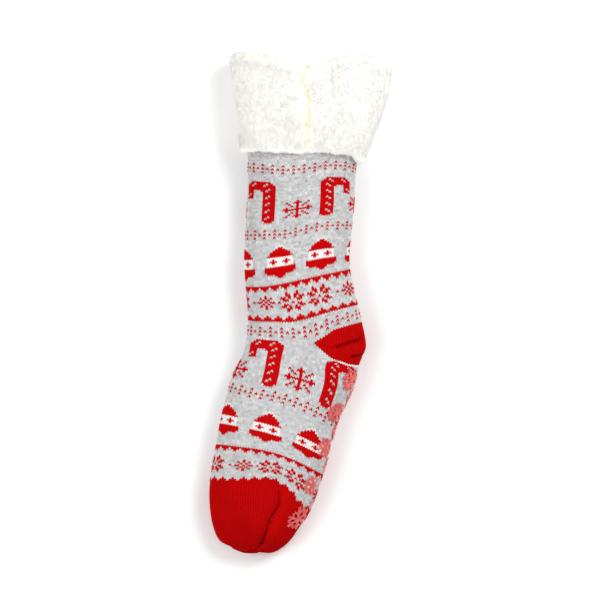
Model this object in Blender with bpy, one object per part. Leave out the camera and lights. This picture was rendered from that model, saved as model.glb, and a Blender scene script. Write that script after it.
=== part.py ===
"""Slipper sock, lying on its side as it does when it is empty.

Units are metres and +Z is up. The leg points along +Y and the sole faces +X, and the origin is
at the middle of the sock's box on the floor. A knitted sock, a fleece cuff folded over its collar
edge and the rubber grips of its sole all come from one function, skin(), which runs through the
sections of SECTIONS.
"""

import math
from bisect import bisect_left
from collections import namedtuple
from functools import lru_cache

import bmesh
import bpy
from mathutils import Matrix, Vector

# The sock's own sizes
LEG_LENGTH = 0.239
LEG_WIDTH = 0.0925
FOOT_LENGTH = 0.190
BALL_WIDTH = 0.0974
FOOT_ANGLE = math.radians(18.0)
LYING_HEIGHT = 0.044

# The collar edge dips at the cuff's two seams and swells between them and the back fold
NOTCH_DEPTH = 0.0085
NOTCH_HALF_WIDTH = 0.0190
LOBE_RISE = 0.0070

# The walls and the clearance between pieces
KNIT_WALL = 0.0024
CUFF_FLEECE = 0.0065
LINING_FLEECE = 0.0045
CLEARANCE = 0.0003

# The cuff: its depth is set by the row of SECTIONS that its hem follows
SEAM_DEPTH = 0.0040
UNDER_SEAM_DEPTH = 0.0010
SEAM_HALF_WIDTH = 0.0110
HEM_WAVE = 0.0016
HEM_WAVES = 7
HEM_ROUNDING = 0.0032

# The sole's grips
GRIP_RADIUS = 0.0092
GRIP_THICKNESS = 0.0008
GRIP_PITCH = 0.0325
GRIP_COLUMN_SPACING = 0.0130
GRIP_ROWS = 5
MIDDLE_GRIP_ROWS = 4

# A snowflake grip's plan, as shares of GRIP_RADIUS
FLAKE_CORE = 0.25
FLAKE_ARM_HALF = 0.115
FLAKE_BRANCH_START = 0.50
FLAKE_BRANCH_END = 0.68
FLAKE_BRANCH_REACH = 0.34
FLAKE_BRANCH_ANGLE = math.radians(55)
FLAKE_ARMS = 6

# How finely the solids are cut into faces
POINTS_ROUND = 32
RINGS_PER_ROW = 2
INNER_RINGS_PER_ROW = 1
FINE_STEPS = 240
FOLD_STEPS = 5
PROBE_STEP = 0.01

# One section of the sock, from its front fold to its back fold. The four places are shares of the
# width and the length of the stretch that the section is in, from the ankle. The heights of its
# underside and its top are shares of LYING_HEIGHT.
Section = namedtuple("Section", "stretch front front_along back back_along low high")

SECTIONS = (
    Section("leg", -0.567, 1.000, 0.775, 0.965, 0.108, 1.12),
    Section("leg", -0.544, 0.914, 0.760, 0.884, 0.108, 1.12),
    Section("leg", -0.521, 0.820, 0.693, 0.795, 0.108, 1.10),
    Section("leg", -0.497, 0.730, 0.600, 0.709, 0.110, 1.05),
    Section("leg", -0.470, 0.655, 0.521, 0.630, 0.112, 0.99),
    Section("leg", -0.478, 0.569, 0.511, 0.558, 0.095, 0.96),
    Section("leg", -0.488, 0.489, 0.508, 0.489, 0.060, 0.94),
    Section("leg", -0.498, 0.374, 0.476, 0.392, 0.025, 0.92),
    Section("leg", -0.504, 0.273, 0.453, 0.309, -0.005, 0.91),
    Section("leg", -0.495, 0.176, 0.470, 0.237, -0.025, 0.92),
    Section("leg", -0.476, 0.076, 0.532, 0.126, -0.036, 0.95),
    Section("leg", -0.478, 0.014, 0.567, 0.059, -0.040, 0.98),
    Section("foot", -0.432, 0.091, 0.570, -0.062, -0.040, 0.99),
    Section("foot", -0.428, 0.138, 0.582, -0.004, -0.040, 0.99),
    Section("foot", -0.437, 0.189, 0.575, 0.042, -0.040, 0.98),
    Section("foot", -0.449, 0.243, 0.585, 0.131, -0.040, 0.97),
    Section("foot", -0.454, 0.309, 0.546, 0.319, -0.040, 0.95),
    Section("foot", -0.441, 0.454, 0.559, 0.464, -0.040, 0.93),
    Section("foot", -0.405, 0.584, 0.562, 0.563, -0.040, 0.90),
    Section("foot", -0.363, 0.731, 0.548, 0.732, -0.036, 0.85),
    Section("foot", -0.318, 0.824, 0.516, 0.807, -0.025, 0.78),
    Section("foot", -0.261, 0.890, 0.482, 0.878, -0.005, 0.70),
    Section("foot", -0.187, 0.943, 0.421, 0.927, 0.030, 0.60),
    Section("foot", -0.092, 0.968, 0.343, 0.965, 0.080, 0.49),
    Section("foot", 0.000, 0.995, 0.240, 0.980, 0.150, 0.38),
)

# Rows of SECTIONS, counted from the collar, that other things follow
HEM_ROW = 3.9
HEM_TURN = 0.4
COLLAR_FADE_ROWS = 3.0
FIRST_GRIP_ROW = 14.7
LAST_ROW = len(SECTIONS) - 1
INNER_TOE_ROW = LAST_ROW - 1.0

# The section's roundness: 2 is an ellipse, more is squarer
TOP_ROUNDNESS = 2.4
UNDERSIDE_ROUNDNESS = 2.3
FOLD_HEIGHT = 0.47
TIP_REACH = 0.0012


def stretch_point(stretch, across, along):
    """A place in the leg or the foot, from its shares, in plan."""
    if stretch == "leg":
        return Vector((across * LEG_WIDTH, along * LEG_LENGTH))
    sideways = Vector((math.cos(FOOT_ANGLE), -math.sin(FOOT_ANGLE)))
    ahead = Vector((-math.sin(FOOT_ANGLE), -math.cos(FOOT_ANGLE)))
    return sideways * (across * BALL_WIDTH) + ahead * (along * FOOT_LENGTH)


def section_values(section):
    """The folds' places, the underside and the top of one section, in metres."""
    front = stretch_point(section.stretch, section.front, section.front_along)
    back = stretch_point(section.stretch, section.back, section.back_along)
    low = section.low * LYING_HEIGHT
    high = section.high * LYING_HEIGHT
    return (front.x, front.y, back.x, back.y, low, high)


TABLE = [section_values(section) for section in SECTIONS]


@lru_cache(maxsize=None)
def smooth_row(row):
    """The section at any row, whole or not, on a smooth curve through the table."""
    row = min(max(row, 0.0), float(LAST_ROW))
    first = min(int(row), LAST_ROW - 1)
    t = row - first
    before = TABLE[max(first - 1, 0)]
    start = TABLE[first]
    end = TABLE[first + 1]
    after = TABLE[min(first + 2, LAST_ROW)]
    values = []
    for a, b, c, d in zip(before, start, end, after):
        slope_in = (c - a) / 2
        slope_out = (d - b) / 2
        cube = 2 * b - 2 * c + slope_in + slope_out
        square = -3 * b + 3 * c - 2 * slope_in - slope_out
        values.append(((cube * t + square) * t + slope_in) * t + b)
    return tuple(values)


def power(value, exponent):
    """A power that keeps the sign."""
    return math.copysign(abs(value) ** exponent, value)


def edge_rise(row, angle):
    """How far the collar's shape lifts a point towards the collar. It fades out down the cuff."""
    fade = max(1.0 - row / COLLAR_FADE_ROWS, 0.0) ** 2
    across = math.cos(angle)
    notch = math.exp(-((across * LEG_WIDTH / 2 / NOTCH_HALF_WIDTH) ** 2))
    lobe = math.sin(math.pi * max(across, 0.0))
    return fade * (LOBE_RISE * lobe - NOTCH_DEPTH * notch)


def section_point(row, angle, out):
    """A point round one section. The angle is 0 at the back fold and a quarter turn on top."""
    values = smooth_row(row)
    front = Vector(values[0:2])
    back = Vector(values[2:4])
    low, high = values[4], values[5]
    middle = (front + back) / 2
    half = (back - front).length / 2
    across = (back - front).normalized()
    roundness = TOP_ROUNDNESS if math.sin(angle) >= 0 else UNDERSIDE_ROUNDNESS
    reach = power(math.cos(angle), 2 / roundness) * (half + out)
    rise = power(math.sin(angle), 2 / roundness)
    fold = low + (high - low) * FOLD_HEIGHT
    depth = high - fold if rise >= 0 else fold - low
    height = fold + rise * (depth + out)
    height = max(height, -out, 0.0)
    place = middle + across * reach
    return Vector((place.x, place.y + edge_rise(row, angle), height))


@lru_cache(maxsize=None)
def fine_section(row):
    """Angles round the section and the distances run to them from the back fold."""
    angles = [2 * math.pi * step / FINE_STEPS for step in range(FINE_STEPS + 1)]
    points = [section_point(row, angle, 0.0) for angle in angles]
    runs = [0.0]
    for last, point in zip(points, points[1:]):
        runs.append(runs[-1] + (point - last).length)
    return angles, runs


def angle_at(section, share):
    """The angle at a share of the way round, so that points are evenly spaced."""
    angles, runs = section
    target = (share % 1.0) * runs[-1]
    index = min(bisect_left(runs, target, 1), FINE_STEPS) - 1
    part = (target - runs[index]) / (runs[index + 1] - runs[index])
    return angles[index] + part * (angles[index + 1] - angles[index])


def skin(row, share, out=0.0):
    """A point of the sock at a row of the table and a share of the way round it."""
    return section_point(row, angle_at(fine_section(row), share), out)


def ring(row, out, lift=0.0):
    """The points round one row, moved outwards by out and towards the collar by lift.

    out may be a number, or a function of the angle.
    """
    section = fine_section(row)
    points = []
    for index in range(POINTS_ROUND):
        angle = angle_at(section, index / POINTS_ROUND)
        distance = out(angle) if callable(out) else out
        point = section_point(row, angle, distance)
        points.append(point + Vector((0.0, lift, 0.0)))
    return points


def rows_between(start, end, per_row=RINGS_PER_ROW):
    """Rows from start to end, about per_row of them to each row of the table."""
    count = max(round((end - start) * per_row), 1)
    return [start + (end - start) * index / count for index in range(count + 1)]


CUFF_ROWS = rows_between(0, HEM_ROW - HEM_TURN)
LOWER_ROWS = rows_between(HEM_ROW - HEM_TURN, LAST_ROW)[1:]
LOWER_INNER_ROWS = rows_between(HEM_ROW - HEM_TURN, INNER_TOE_ROW, INNER_RINGS_PER_ROW)[1:]


def add_rings(mesh, rings):
    """Vertices of the rings, joined by faces from each ring to the next."""
    levels = [[mesh.verts.new(point) for point in points] for points in rings]
    for lower, upper in zip(levels, levels[1:]):
        join_levels(mesh, lower, upper)
    return levels


def join_levels(mesh, lower, upper):
    """Faces between two rings of vertices."""
    for index in range(POINTS_ROUND):
        after = (index + 1) % POINTS_ROUND
        mesh.faces.new((lower[index], lower[after], upper[after], upper[index]))


def close_level(mesh, level, point):
    """A fan of faces from a ring of vertices to one point."""
    tip = mesh.verts.new(point)
    for index in range(POINTS_ROUND):
        mesh.faces.new((level[index], level[(index + 1) % POINTS_ROUND], tip))


def average(points):
    """The middle of some points."""
    return sum(points, Vector()) / len(points)


def finish(name, mesh, material):
    """A smooth-shaded object from a closed mesh, with its faces pointing out."""
    bmesh.ops.recalc_face_normals(mesh, faces=mesh.faces)
    bmesh.ops.triangulate(mesh, faces=mesh.faces)
    data = bpy.data.meshes.new(name)
    mesh.to_mesh(data)
    mesh.free()
    data.materials.append(material)
    data.shade_smooth()
    data.set_sharp_from_angle(angle=math.radians(50))
    piece = bpy.data.objects.new(name, data)
    bpy.context.scene.collection.objects.link(piece)
    return piece


def plain_material(name, colour, roughness):
    """A material of one colour."""
    material = bpy.data.materials.new(name)
    material.use_nodes = True
    shader = material.node_tree.nodes["Principled BSDF"]
    shader.inputs["Base Color"].default_value = (*colour, 1.0)
    shader.inputs["Roughness"].default_value = roughness
    shader.inputs["Metallic"].default_value = 0.0
    return material


def make_knit_sock(material):
    """The leg, heel, foot and toe as one hollow wall, open at the collar."""
    mesh = bmesh.new()
    outside = add_rings(mesh, [ring(row, 0.0) for row in CUFF_ROWS + LOWER_ROWS])
    toe = ring(LAST_ROW, 0.0)
    ahead = Vector((-math.sin(FOOT_ANGLE), -math.cos(FOOT_ANGLE), 0.0))
    close_level(mesh, outside[-1], average(toe) + ahead * TIP_REACH)
    inner_rings = [ring(row, -KNIT_WALL) for row in CUFF_ROWS + LOWER_INNER_ROWS]
    inside = add_rings(mesh, inner_rings)
    close_level(mesh, inside[-1], average(inner_rings[-1]))
    join_levels(mesh, outside[0], inside[0])
    return finish("knit_sock", mesh, material)


def seam_trough(angle):
    """How far the cuff's pile is drawn in at its two seams, on top and, pressed, underneath."""
    from_seam = abs(math.cos(angle)) * LEG_WIDTH / 2
    depth = SEAM_DEPTH if math.sin(angle) > 0 else UNDER_SEAM_DEPTH
    return depth * math.exp(-((from_seam / SEAM_HALF_WIDTH) ** 2))


def cuff_outside(angle):
    """The distance from the knit's skin to the outside of the turned-down pile."""
    return CLEARANCE + CUFF_FLEECE - seam_trough(angle)


def hem_ring(out, up):
    """A ring near the cuff's hem, which waves a little."""
    row_length = LEG_LENGTH * (SECTIONS[3].front_along - SECTIONS[4].front_along)
    points = []
    for index in range(POINTS_ROUND):
        share = index / POINTS_ROUND
        wave = HEM_WAVE * math.sin(2 * math.pi * HEM_WAVES * share)
        row = HEM_ROW - (up + wave) / row_length
        angle = angle_at(fine_section(row), share)
        distance = out(angle) if callable(out) else out
        points.append(section_point(row, angle, distance))
    return points


def make_fleece_cuff(material):
    """The pile folded over the knit's collar edge: down outside as the cuff, and inside."""
    outer_gap = CLEARANCE
    inner_gap = -(KNIT_WALL + CLEARANCE)
    innermost = inner_gap - LINING_FLEECE
    rows = CUFF_ROWS
    rings = [hem_ring(outer_gap + CUFF_FLEECE / 2, 0.0)]
    rings.append(hem_ring(cuff_outside, HEM_ROUNDING))
    rings += [ring(row, cuff_outside) for row in reversed(rows)]
    for step in range(1, FOLD_STEPS):
        turn = math.pi * step / FOLD_STEPS
        lift = math.sin(turn) * (outer_gap + CUFF_FLEECE - innermost) / 2
        inward = (1 - math.cos(turn)) / 2

        def over_fold(angle, inward=inward):
            outside = cuff_outside(angle)
            return outside + (innermost - outside) * inward

        rings.append(ring(0, over_fold, lift))
    rings += [ring(row, innermost) for row in rows]
    rings += [ring(row, inner_gap) for row in reversed(rows)]
    edge = (outer_gap - inner_gap) / 2
    rings.append(ring(0, inner_gap + edge, edge))
    rings += [ring(row, outer_gap) for row in rows]
    rings.append(hem_ring(outer_gap, HEM_ROUNDING))
    mesh = bmesh.new()
    levels = add_rings(mesh, rings)
    join_levels(mesh, levels[-1], levels[0])
    return finish("fleece_cuff", mesh, material)


def sole_frame(row, run):
    """A place on the sole at a distance round from the back fold, and its two directions."""
    round_length = fine_section(row)[1][-1]
    share = run / round_length
    place = skin(row, share)
    sideways = skin(row, share + PROBE_STEP) - skin(row, share - PROBE_STEP)
    lengthways = skin(row + PROBE_STEP, share) - skin(row - PROBE_STEP, share)
    outwards = sideways.cross(lengthways).normalized()
    if outwards.x < 0:
        outwards = -outwards
    per_row = lengthways.length / (2 * PROBE_STEP)
    return place, outwards, per_row


def snowflake_plan():
    """The flat snowflake: its points and the faces between them, for a radius of one."""
    arm_turn = 2 * math.pi / FLAKE_ARMS
    branch_x = FLAKE_BRANCH_REACH * math.cos(FLAKE_BRANCH_ANGLE)
    branch_y = FLAKE_BRANCH_REACH * math.sin(FLAKE_BRANCH_ANGLE)
    points = [Vector((0.0, 0.0))]
    faces = []
    for arm in range(FLAKE_ARMS):
        corner = Matrix.Rotation(arm_turn * (arm - 0.5), 2)
        points.append(corner @ Vector((FLAKE_CORE, 0.0)))
    for arm in range(FLAKE_ARMS):
        turn = Matrix.Rotation(arm_turn * arm, 2)
        right = 1 + arm
        left = 1 + (arm + 1) % FLAKE_ARMS
        first = len(points)
        outline = []
        for side in (-1, 1):
            low = Vector((FLAKE_BRANCH_START, side * FLAKE_ARM_HALF))
            high = Vector((FLAKE_BRANCH_END, side * FLAKE_ARM_HALF))
            reach = Vector((branch_x, side * branch_y))
            tip = Vector((1.0, side * FLAKE_ARM_HALF))
            outline += [low, high, low + reach, high + reach, tip]
        points += [turn @ point for point in outline]
        r_low, r_high, r_branch_low, r_branch_high, r_tip = range(first, first + 5)
        l_low, l_high, l_branch_low, l_branch_high, l_tip = range(first + 5, first + 10)
        faces.append((0, right, left))
        faces.append((right, r_low, l_low, left))
        faces.append((r_low, r_high, l_high, l_low))
        faces.append((r_high, r_tip, l_tip, l_high))
        faces.append((r_low, r_branch_low, r_branch_high, r_high))
        faces.append((l_low, l_high, l_branch_high, l_branch_low))
    return points, faces


def make_grip(name, row, run, material):
    """One rubber snowflake, bent to the sole and as thick all over."""
    points, faces = snowflake_plan()
    per_row = sole_frame(row, run)[2]
    layers = []
    mesh = bmesh.new()
    for height in (CLEARANCE, CLEARANCE + GRIP_THICKNESS):
        layer = []
        for point in points:
            here = row + point.y * GRIP_RADIUS / per_row
            place, outwards, _ = sole_frame(here, run + point.x * GRIP_RADIUS)
            layer.append(mesh.verts.new(place + outwards * height))
        layers.append(layer)
    lower, upper = layers
    for face in faces:
        mesh.faces.new([lower[index] for index in reversed(face)])
        mesh.faces.new([upper[index] for index in face])
    sides = {}
    for face in faces:
        for start, end in zip(face, face[1:] + face[:1]):
            key = (min(start, end), max(start, end))
            sides.setdefault(key, []).append((start, end))
    for uses in sides.values():
        if len(uses) == 1:
            start, end = uses[0]
            mesh.faces.new((lower[start], lower[end], upper[end], upper[start]))
    return finish(name, mesh, material)


def make_grips(material):
    """Three staggered columns of grips along the sole, the middle one on the back fold."""
    grips = []
    for column in (1, 0, -1):
        run = column * GRIP_COLUMN_SPACING
        for index in range(MIDDLE_GRIP_ROWS if column == 0 else GRIP_ROWS):
            distance = (index + (0.5 if column == 0 else 0.0)) * GRIP_PITCH
            row = row_after(FIRST_GRIP_ROW, run, distance)
            name = "grip_%02d" % (len(grips) + 1)
            grips.append(make_grip(name, row, run, material))
    return grips


def row_after(row, run, distance):
    """The row that lies a distance further along the sole."""
    last = sole_frame(row, run)[0]
    while distance > 0:
        row += PROBE_STEP
        place = sole_frame(row, run)[0]
        distance -= (place - last).length
        last = place
    return row


def centre_on_floor(pieces):
    """Moves all pieces so that the origin is under the middle of their box."""
    corners = [vertex.co for piece in pieces for vertex in piece.data.vertices]
    low = Vector([min(corner[axis] for corner in corners) for axis in range(3)])
    high = Vector([max(corner[axis] for corner in corners) for axis in range(3)])
    shift = Vector((-(low.x + high.x) / 2, -(low.y + high.y) / 2, -low.z))
    for piece in pieces:
        piece.location = shift


def main():
    """Builds the sock."""
    for piece in list(bpy.data.objects):
        bpy.data.objects.remove(piece)
    knit = plain_material("heather knit", (0.62, 0.62, 0.62), 0.9)
    fleece = plain_material("cream fleece", (0.93, 0.91, 0.87), 0.95)
    rubber = plain_material("red rubber", (0.70, 0.07, 0.06), 0.45)
    pieces = [make_knit_sock(knit), make_fleece_cuff(fleece)]
    pieces += make_grips(rubber)
    centre_on_floor(pieces)


main()
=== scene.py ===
"""Dresses the slipper sock: every stitch of its knit, the fleece cuff and lining, and the grips.

Units are metres in the row frame: the leg points along +Y, the sole faces +X and the sock lies on
its side on the floor. A place on the knit is a row of SECTIONS and a share of the way round it,
from the back fold over the top to the front fold and back underneath.
"""

import math
from collections import namedtuple

import bpy
import numpy as np
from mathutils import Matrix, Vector, noise


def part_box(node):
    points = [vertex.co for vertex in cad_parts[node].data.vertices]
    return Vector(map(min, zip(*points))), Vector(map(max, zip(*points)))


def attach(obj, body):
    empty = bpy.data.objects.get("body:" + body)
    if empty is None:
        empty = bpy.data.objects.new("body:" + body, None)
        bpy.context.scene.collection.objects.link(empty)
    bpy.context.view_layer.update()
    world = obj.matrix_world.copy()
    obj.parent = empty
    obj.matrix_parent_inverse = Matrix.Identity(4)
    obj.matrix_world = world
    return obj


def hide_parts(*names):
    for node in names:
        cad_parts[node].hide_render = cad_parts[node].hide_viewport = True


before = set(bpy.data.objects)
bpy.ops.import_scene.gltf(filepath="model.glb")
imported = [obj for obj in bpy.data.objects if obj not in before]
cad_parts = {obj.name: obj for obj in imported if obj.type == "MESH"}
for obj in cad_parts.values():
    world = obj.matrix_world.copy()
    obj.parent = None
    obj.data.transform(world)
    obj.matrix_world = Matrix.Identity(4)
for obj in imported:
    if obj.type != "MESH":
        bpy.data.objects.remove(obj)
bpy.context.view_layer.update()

bl_info = {
    "name": "Slipper Sock",
    "version": (1, 0, 0),
    "blender": (4, 5, 0),
    "location": "3D View > Sidebar > Slipper Sock",
    "description": "Knits a slipper sock over its solids, with a fleece cuff and rubber grips",
    "category": "Object",
}

# The sock's own sizes
LEG_LENGTH = 0.239
LEG_WIDTH = 0.0925
FOOT_LENGTH = 0.190
BALL_WIDTH = 0.0974
FOOT_ANGLE = math.radians(18.0)
FOOT_AHEAD = np.array([-math.sin(FOOT_ANGLE), -math.cos(FOOT_ANGLE), 0.0])
LYING_HEIGHT = 0.044
NOTCH_DEPTH = 0.0085
NOTCH_HALF_WIDTH = 0.0190
LOBE_RISE = 0.0070
KNIT_WALL = 0.0024
CUFF_FLEECE = 0.0065
LINING_FLEECE = 0.0045
CLEARANCE = 0.0003
SEAM_DEPTH = 0.0040
UNDER_SEAM_DEPTH = 0.0010
SEAM_HALF_WIDTH = 0.0110
TOP_ROUNDNESS = 2.4
UNDERSIDE_ROUNDNESS = 2.3
FOLD_HEIGHT = 0.47
COLLAR_FADE_ROWS = 3.0
TIP_REACH = 0.0012

# The folds' places are shares of the width and length of their stretch, from the ankle
Section = namedtuple("Section", "stretch front front_along back back_along low high")

SECTIONS = (
    Section("leg", -0.567, 1.000, 0.775, 0.965, 0.108, 1.12),
    Section("leg", -0.544, 0.914, 0.760, 0.884, 0.108, 1.12),
    Section("leg", -0.521, 0.820, 0.693, 0.795, 0.108, 1.10),
    Section("leg", -0.497, 0.730, 0.600, 0.709, 0.110, 1.05),
    Section("leg", -0.470, 0.655, 0.521, 0.630, 0.112, 0.99),
    Section("leg", -0.478, 0.569, 0.511, 0.558, 0.095, 0.96),
    Section("leg", -0.488, 0.489, 0.508, 0.489, 0.060, 0.94),
    Section("leg", -0.498, 0.374, 0.476, 0.392, 0.025, 0.92),
    Section("leg", -0.504, 0.273, 0.453, 0.309, -0.005, 0.91),
    Section("leg", -0.495, 0.176, 0.470, 0.237, -0.025, 0.92),
    Section("leg", -0.476, 0.076, 0.532, 0.126, -0.036, 0.95),
    Section("leg", -0.478, 0.014, 0.567, 0.059, -0.040, 0.98),
    Section("foot", -0.432, 0.091, 0.570, -0.062, -0.040, 0.99),
    Section("foot", -0.428, 0.138, 0.582, -0.004, -0.040, 0.99),
    Section("foot", -0.437, 0.189, 0.575, 0.042, -0.040, 0.98),
    Section("foot", -0.449, 0.243, 0.585, 0.131, -0.040, 0.97),
    Section("foot", -0.454, 0.309, 0.546, 0.319, -0.040, 0.95),
    Section("foot", -0.441, 0.454, 0.559, 0.464, -0.040, 0.93),
    Section("foot", -0.405, 0.584, 0.562, 0.563, -0.040, 0.90),
    Section("foot", -0.363, 0.731, 0.548, 0.732, -0.036, 0.85),
    Section("foot", -0.318, 0.824, 0.516, 0.807, -0.025, 0.78),
    Section("foot", -0.261, 0.890, 0.482, 0.878, -0.005, 0.70),
    Section("foot", -0.187, 0.943, 0.421, 0.927, 0.030, 0.60),
    Section("foot", -0.110, 0.984, 0.343, 0.965, 0.080, 0.49),
    Section("foot", 0.000, 0.995, 0.240, 0.980, 0.150, 0.38),
)
LAST_ROW = len(SECTIONS) - 1
# The rings that close the toe: their rows, how far they reach, and the last one's share of the toe
CAP_ROWS = 1.0
CAP_REACH = 0.0030
CAP_END_SHARE = 0.05

# The skin is sampled this finely
STEPS_PER_ROW = 16
STEPS_ROUND = 384
FINE_STEPS = 720
CAD_POINTS_ROUND = 32

# The knit
WALES = 96
COURSE_HEIGHT = 0.00160
TOE_WALE = 0.00232
FRONT_SHARE = 0.508
GORE_SHARE = 0.226

# Where each course of stitches runs: its row of SECTIONS at seven shares of the way round, from
# the back fold over the top to the front fold. The underside mirrors the top.
SHARE_STOPS = (0.0, 0.08, 0.15, 0.226, 0.30, 0.38, 0.508)
Course = namedtuple("Course", "course back near_back heel_side gore middle near_front front")

LEG_COURSES = (
    Course(-8.0, 3.45, 3.38, 3.40, 3.58, 3.70, 3.70, 3.63),
    Course(0.0, 3.80, 3.68, 3.70, 3.92, 4.04, 4.04, 3.97),
    Course(6.5, 4.35, 4.20, 4.22, 4.42, 4.55, 4.55, 4.48),
    Course(26.0, 5.85, 5.75, 5.72, 5.95, 6.05, 6.04, 6.00),
    Course(44.6, 6.88, 6.85, 6.85, 6.95, 7.10, 7.08, 7.05),
    Course(60.3, 7.95, 7.94, 7.95, 8.02, 8.10, 8.12, 8.10),
    Course(73.4, 8.98, 9.00, 9.04, 9.08, 9.12, 9.14, 9.00),
    Course(80.4, 9.52, 9.55, 9.58, 9.65, 9.70, 9.58, 9.45),
    Course(88.6, 9.98, 10.04, 10.12, 10.25, 10.40, 10.25, 10.00),
    Course(95.1, 10.44, 10.60, 10.80, 11.18, 11.25, 10.97, 10.65),
    Course(100.0, 11.00, 11.09, 11.25, 11.88, 11.91, 11.81, 11.46),
)

FOOT_COURSES = (
    Course(0.0, 13.97, 13.85, 13.30, 12.02, 11.91, 11.81, 11.46),
    Course(13.3, 15.02, 15.00, 14.80, 14.52, 14.20, 14.00, 13.90),
    Course(28.4, 16.00, 15.95, 15.85, 15.77, 15.80, 15.95, 16.00),
    Course(45.6, 17.00, 16.90, 16.82, 16.78, 16.80, 16.88, 17.00),
    Course(61.5, 18.00, 17.88, 17.73, 17.65, 17.70, 17.82, 18.00),
    Course(71.7, 18.62, 18.42, 18.25, 18.15, 18.25, 18.40, 18.55),
    Course(81.0, 19.02, 18.92, 18.58, 18.45, 18.62, 18.83, 19.10),
)

TOE_COURSES = (
    Course(0.0, 19.02, 18.92, 18.58, 18.45, 18.62, 18.83, 19.10),
    Course(20.0, 21.20, 21.10, 20.90, 20.80, 21.00, 21.30, 21.60),
    Course(40.0, 24.00, 24.00, 24.00, 24.00, 24.00, 24.00, 24.00),
    Course(45.0, 24.95, 24.95, 24.95, 24.95, 24.95, 24.95, 24.95),
)

# How many steps on each side ease a bend between courses, and how wide that is round the sock
EASE_STEPS = 9
EASE_WIDTH = 4.0

# The leg's first course, which the cuff hides, and the course after each part's last
LEG_START = -8
LEG_END = 100
FOOT_END = 81
TOE_END = 45

# Where the heel's two halves meet, as a share of the way round and the row there, and where the
# toe's instep and sole meet, as a row and the share there
GORE_LINE = ((0.0, 12.40), (0.08, 12.35), (0.15, 12.30), (0.226, 11.95))
TOE_LINE = (
    (18.40, 0.194),
    (18.90, 0.180),
    (19.20, 0.170),
    (19.95, 0.176),
    (20.80, 0.182),
    (22.30, 0.166),
    (24.00, 0.208),
    (25.00, 0.208),
)

# How many wales the foot's knitting has turned towards the back fold at each course
FOOT_DRIFT = (
    (0.0, -1.2), (8.0, -1.6), (16.0, -2.8), (26.0, -3.8), (34.0, -3.4), (45.0, -3.0), (72.0, -4.4),
    (81.0, -4.5),
)

# Charts: R is red, W is white and a dot is the ground's grey
CANE = (
    "..RRRRRRRR..",
    ".RR.RRRR.RR.",
    "RR.RRRR.RRRR",
    "RRRRRRRRRRRR",
    "RRRRRRRRR.RR",
    "RRR...RR.RRR",
    "RRR....RRRRR",
    "R.R....RRRRR",
    ".RR....RR.RR",
    "RRR....R.RRR",
    ".......RRRRR",
    ".......RRRRR",
    ".......RR.RR",
    ".......R.RRR",
    ".......RRRRR",
    ".......RRRRR",
    ".......RR.RR",
    ".......R.RRR",
    ".......RRRRR",
    ".......RRRRR",
    ".......RR.RR",
    ".......R.RRR",
    ".......RRRRR",
    "........RRR.",
)

SNOWFLAKE = (
    ".....R.....",
    ".R..RRR..R.",
    "..R..R..R..",
    "...R.R.R...",
    ".R...R...R.",
    "RRRRRRRRRRR",
    ".R...R...R.",
    "...R.R.R...",
    "..R..R..R..",
    ".R..RRR..R.",
    ".....R.....",
)

BELL = (
    ".....WW.....",
    "....WRRW....",
    "....RRRR....",
    "...RRRRRR...",
    "..RRRRRRRR..",
    "..RRRRRRRR..",
    ".RRRRRRRRRR.",
    ".WWWWWWWWWW.",
    ".WWRWWWWRWW.",
    ".WRRRWWRRRW.",
    ".WWRWWWWRWW.",
    ".WWWWWWWWWW.",
    "RRRRRRRRRRRR",
    "RRRRRRRRRRRR",
    "RRRRRRRRRRRR",
    ".RRRRRRRRRR.",
    "....RRRR....",
    ".....RR.....",
)

LARGE_FLORET = (
    "..R...R..",
    "..RR.RR..",
    "RR.R.R.RR",
    ".RR...RR.",
    "....R....",
    ".RR...RR.",
    "RR.R.R.RR",
    "..RR.RR..",
    "..R...R..",
)

SMALL_FLORET = (
    "...R...",
    ".R.R.R.",
    "..R.R..",
    "RR.R.RR",
    "..R.R..",
    ".R.R.R.",
    "...R...",
)

TREES = (
    "R...",
    "....",
    "R.R.",
    "....",
    "R...",
)

TEETH_DOWN = (
    "RRRR",
    "RR.R",
    "R...",
)

TEETH_UP = (
    "R...",
    "RR.R",
    "RRRR",
)

TOE_TEETH = (
    "R...",
    "RR.R",
)

# A place of one chart: its top course and its middle wale
Motif = namedtuple("Motif", "chart course wale mirrored")

LEG_MOTIFS = (
    Motif(CANE, 14, 40, False),
    Motif(SNOWFLAKE, 25, 25, False),
    Motif(CANE, 14, 11, True),
    Motif(SNOWFLAKE, 25, 0, False),
    Motif(CANE, 14, 80, True),
    Motif(CANE, 14, 68, False),
    Motif(SNOWFLAKE, 25, 52, False),
)

FOOT_MOTIFS = (
    Motif(CANE, 0, 39, False),
    Motif(SNOWFLAKE, 12, 25, False),
    Motif(CANE, 1, 11, True),
    Motif(SNOWFLAKE, 12, 94, False),
    Motif(CANE, 1, 80, True),
    Motif(CANE, 1, 68, False),
    Motif(SNOWFLAKE, 12, 49, False),
)

# The top course of each band and the wale that it starts at
LEG_TREES = ((4, 3), (42, 1), (93, 0))
LEG_BELLS = (51, 9)
LEG_FLORETS = (76, 5)
LEG_TEETH_DOWN = (72, 1)
LEG_TEETH_UP = (87, 1)
FOOT_TREES = ((26, 0),)
FOOT_BELLS = (37, 9)
FOOT_FLORETS = (67, 5)
FOOT_TEETH_DOWN = (61, 1)
# How many wales apart the bells and the small florets are, how far the single stitches and the
# large florets are from a small one, and how far the foot's white course goes from the back fold
BELL_PITCH = 16
FLORET_PITCH = 32
SMALL_TO_DOT = 5
SMALL_TO_SECOND_LARGE = 12
SMALL_TO_FIRST_LARGE = 22
WHITE_COURSE_WALES = 12

# Creases of the knit: how deep they sink, how far they reach sideways, how much darker painted
# shade makes the knit of the top side along them, lighter where it is negative, and their points
# in plan
Crease = namedtuple("Crease", "depth reach shade points")

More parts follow.
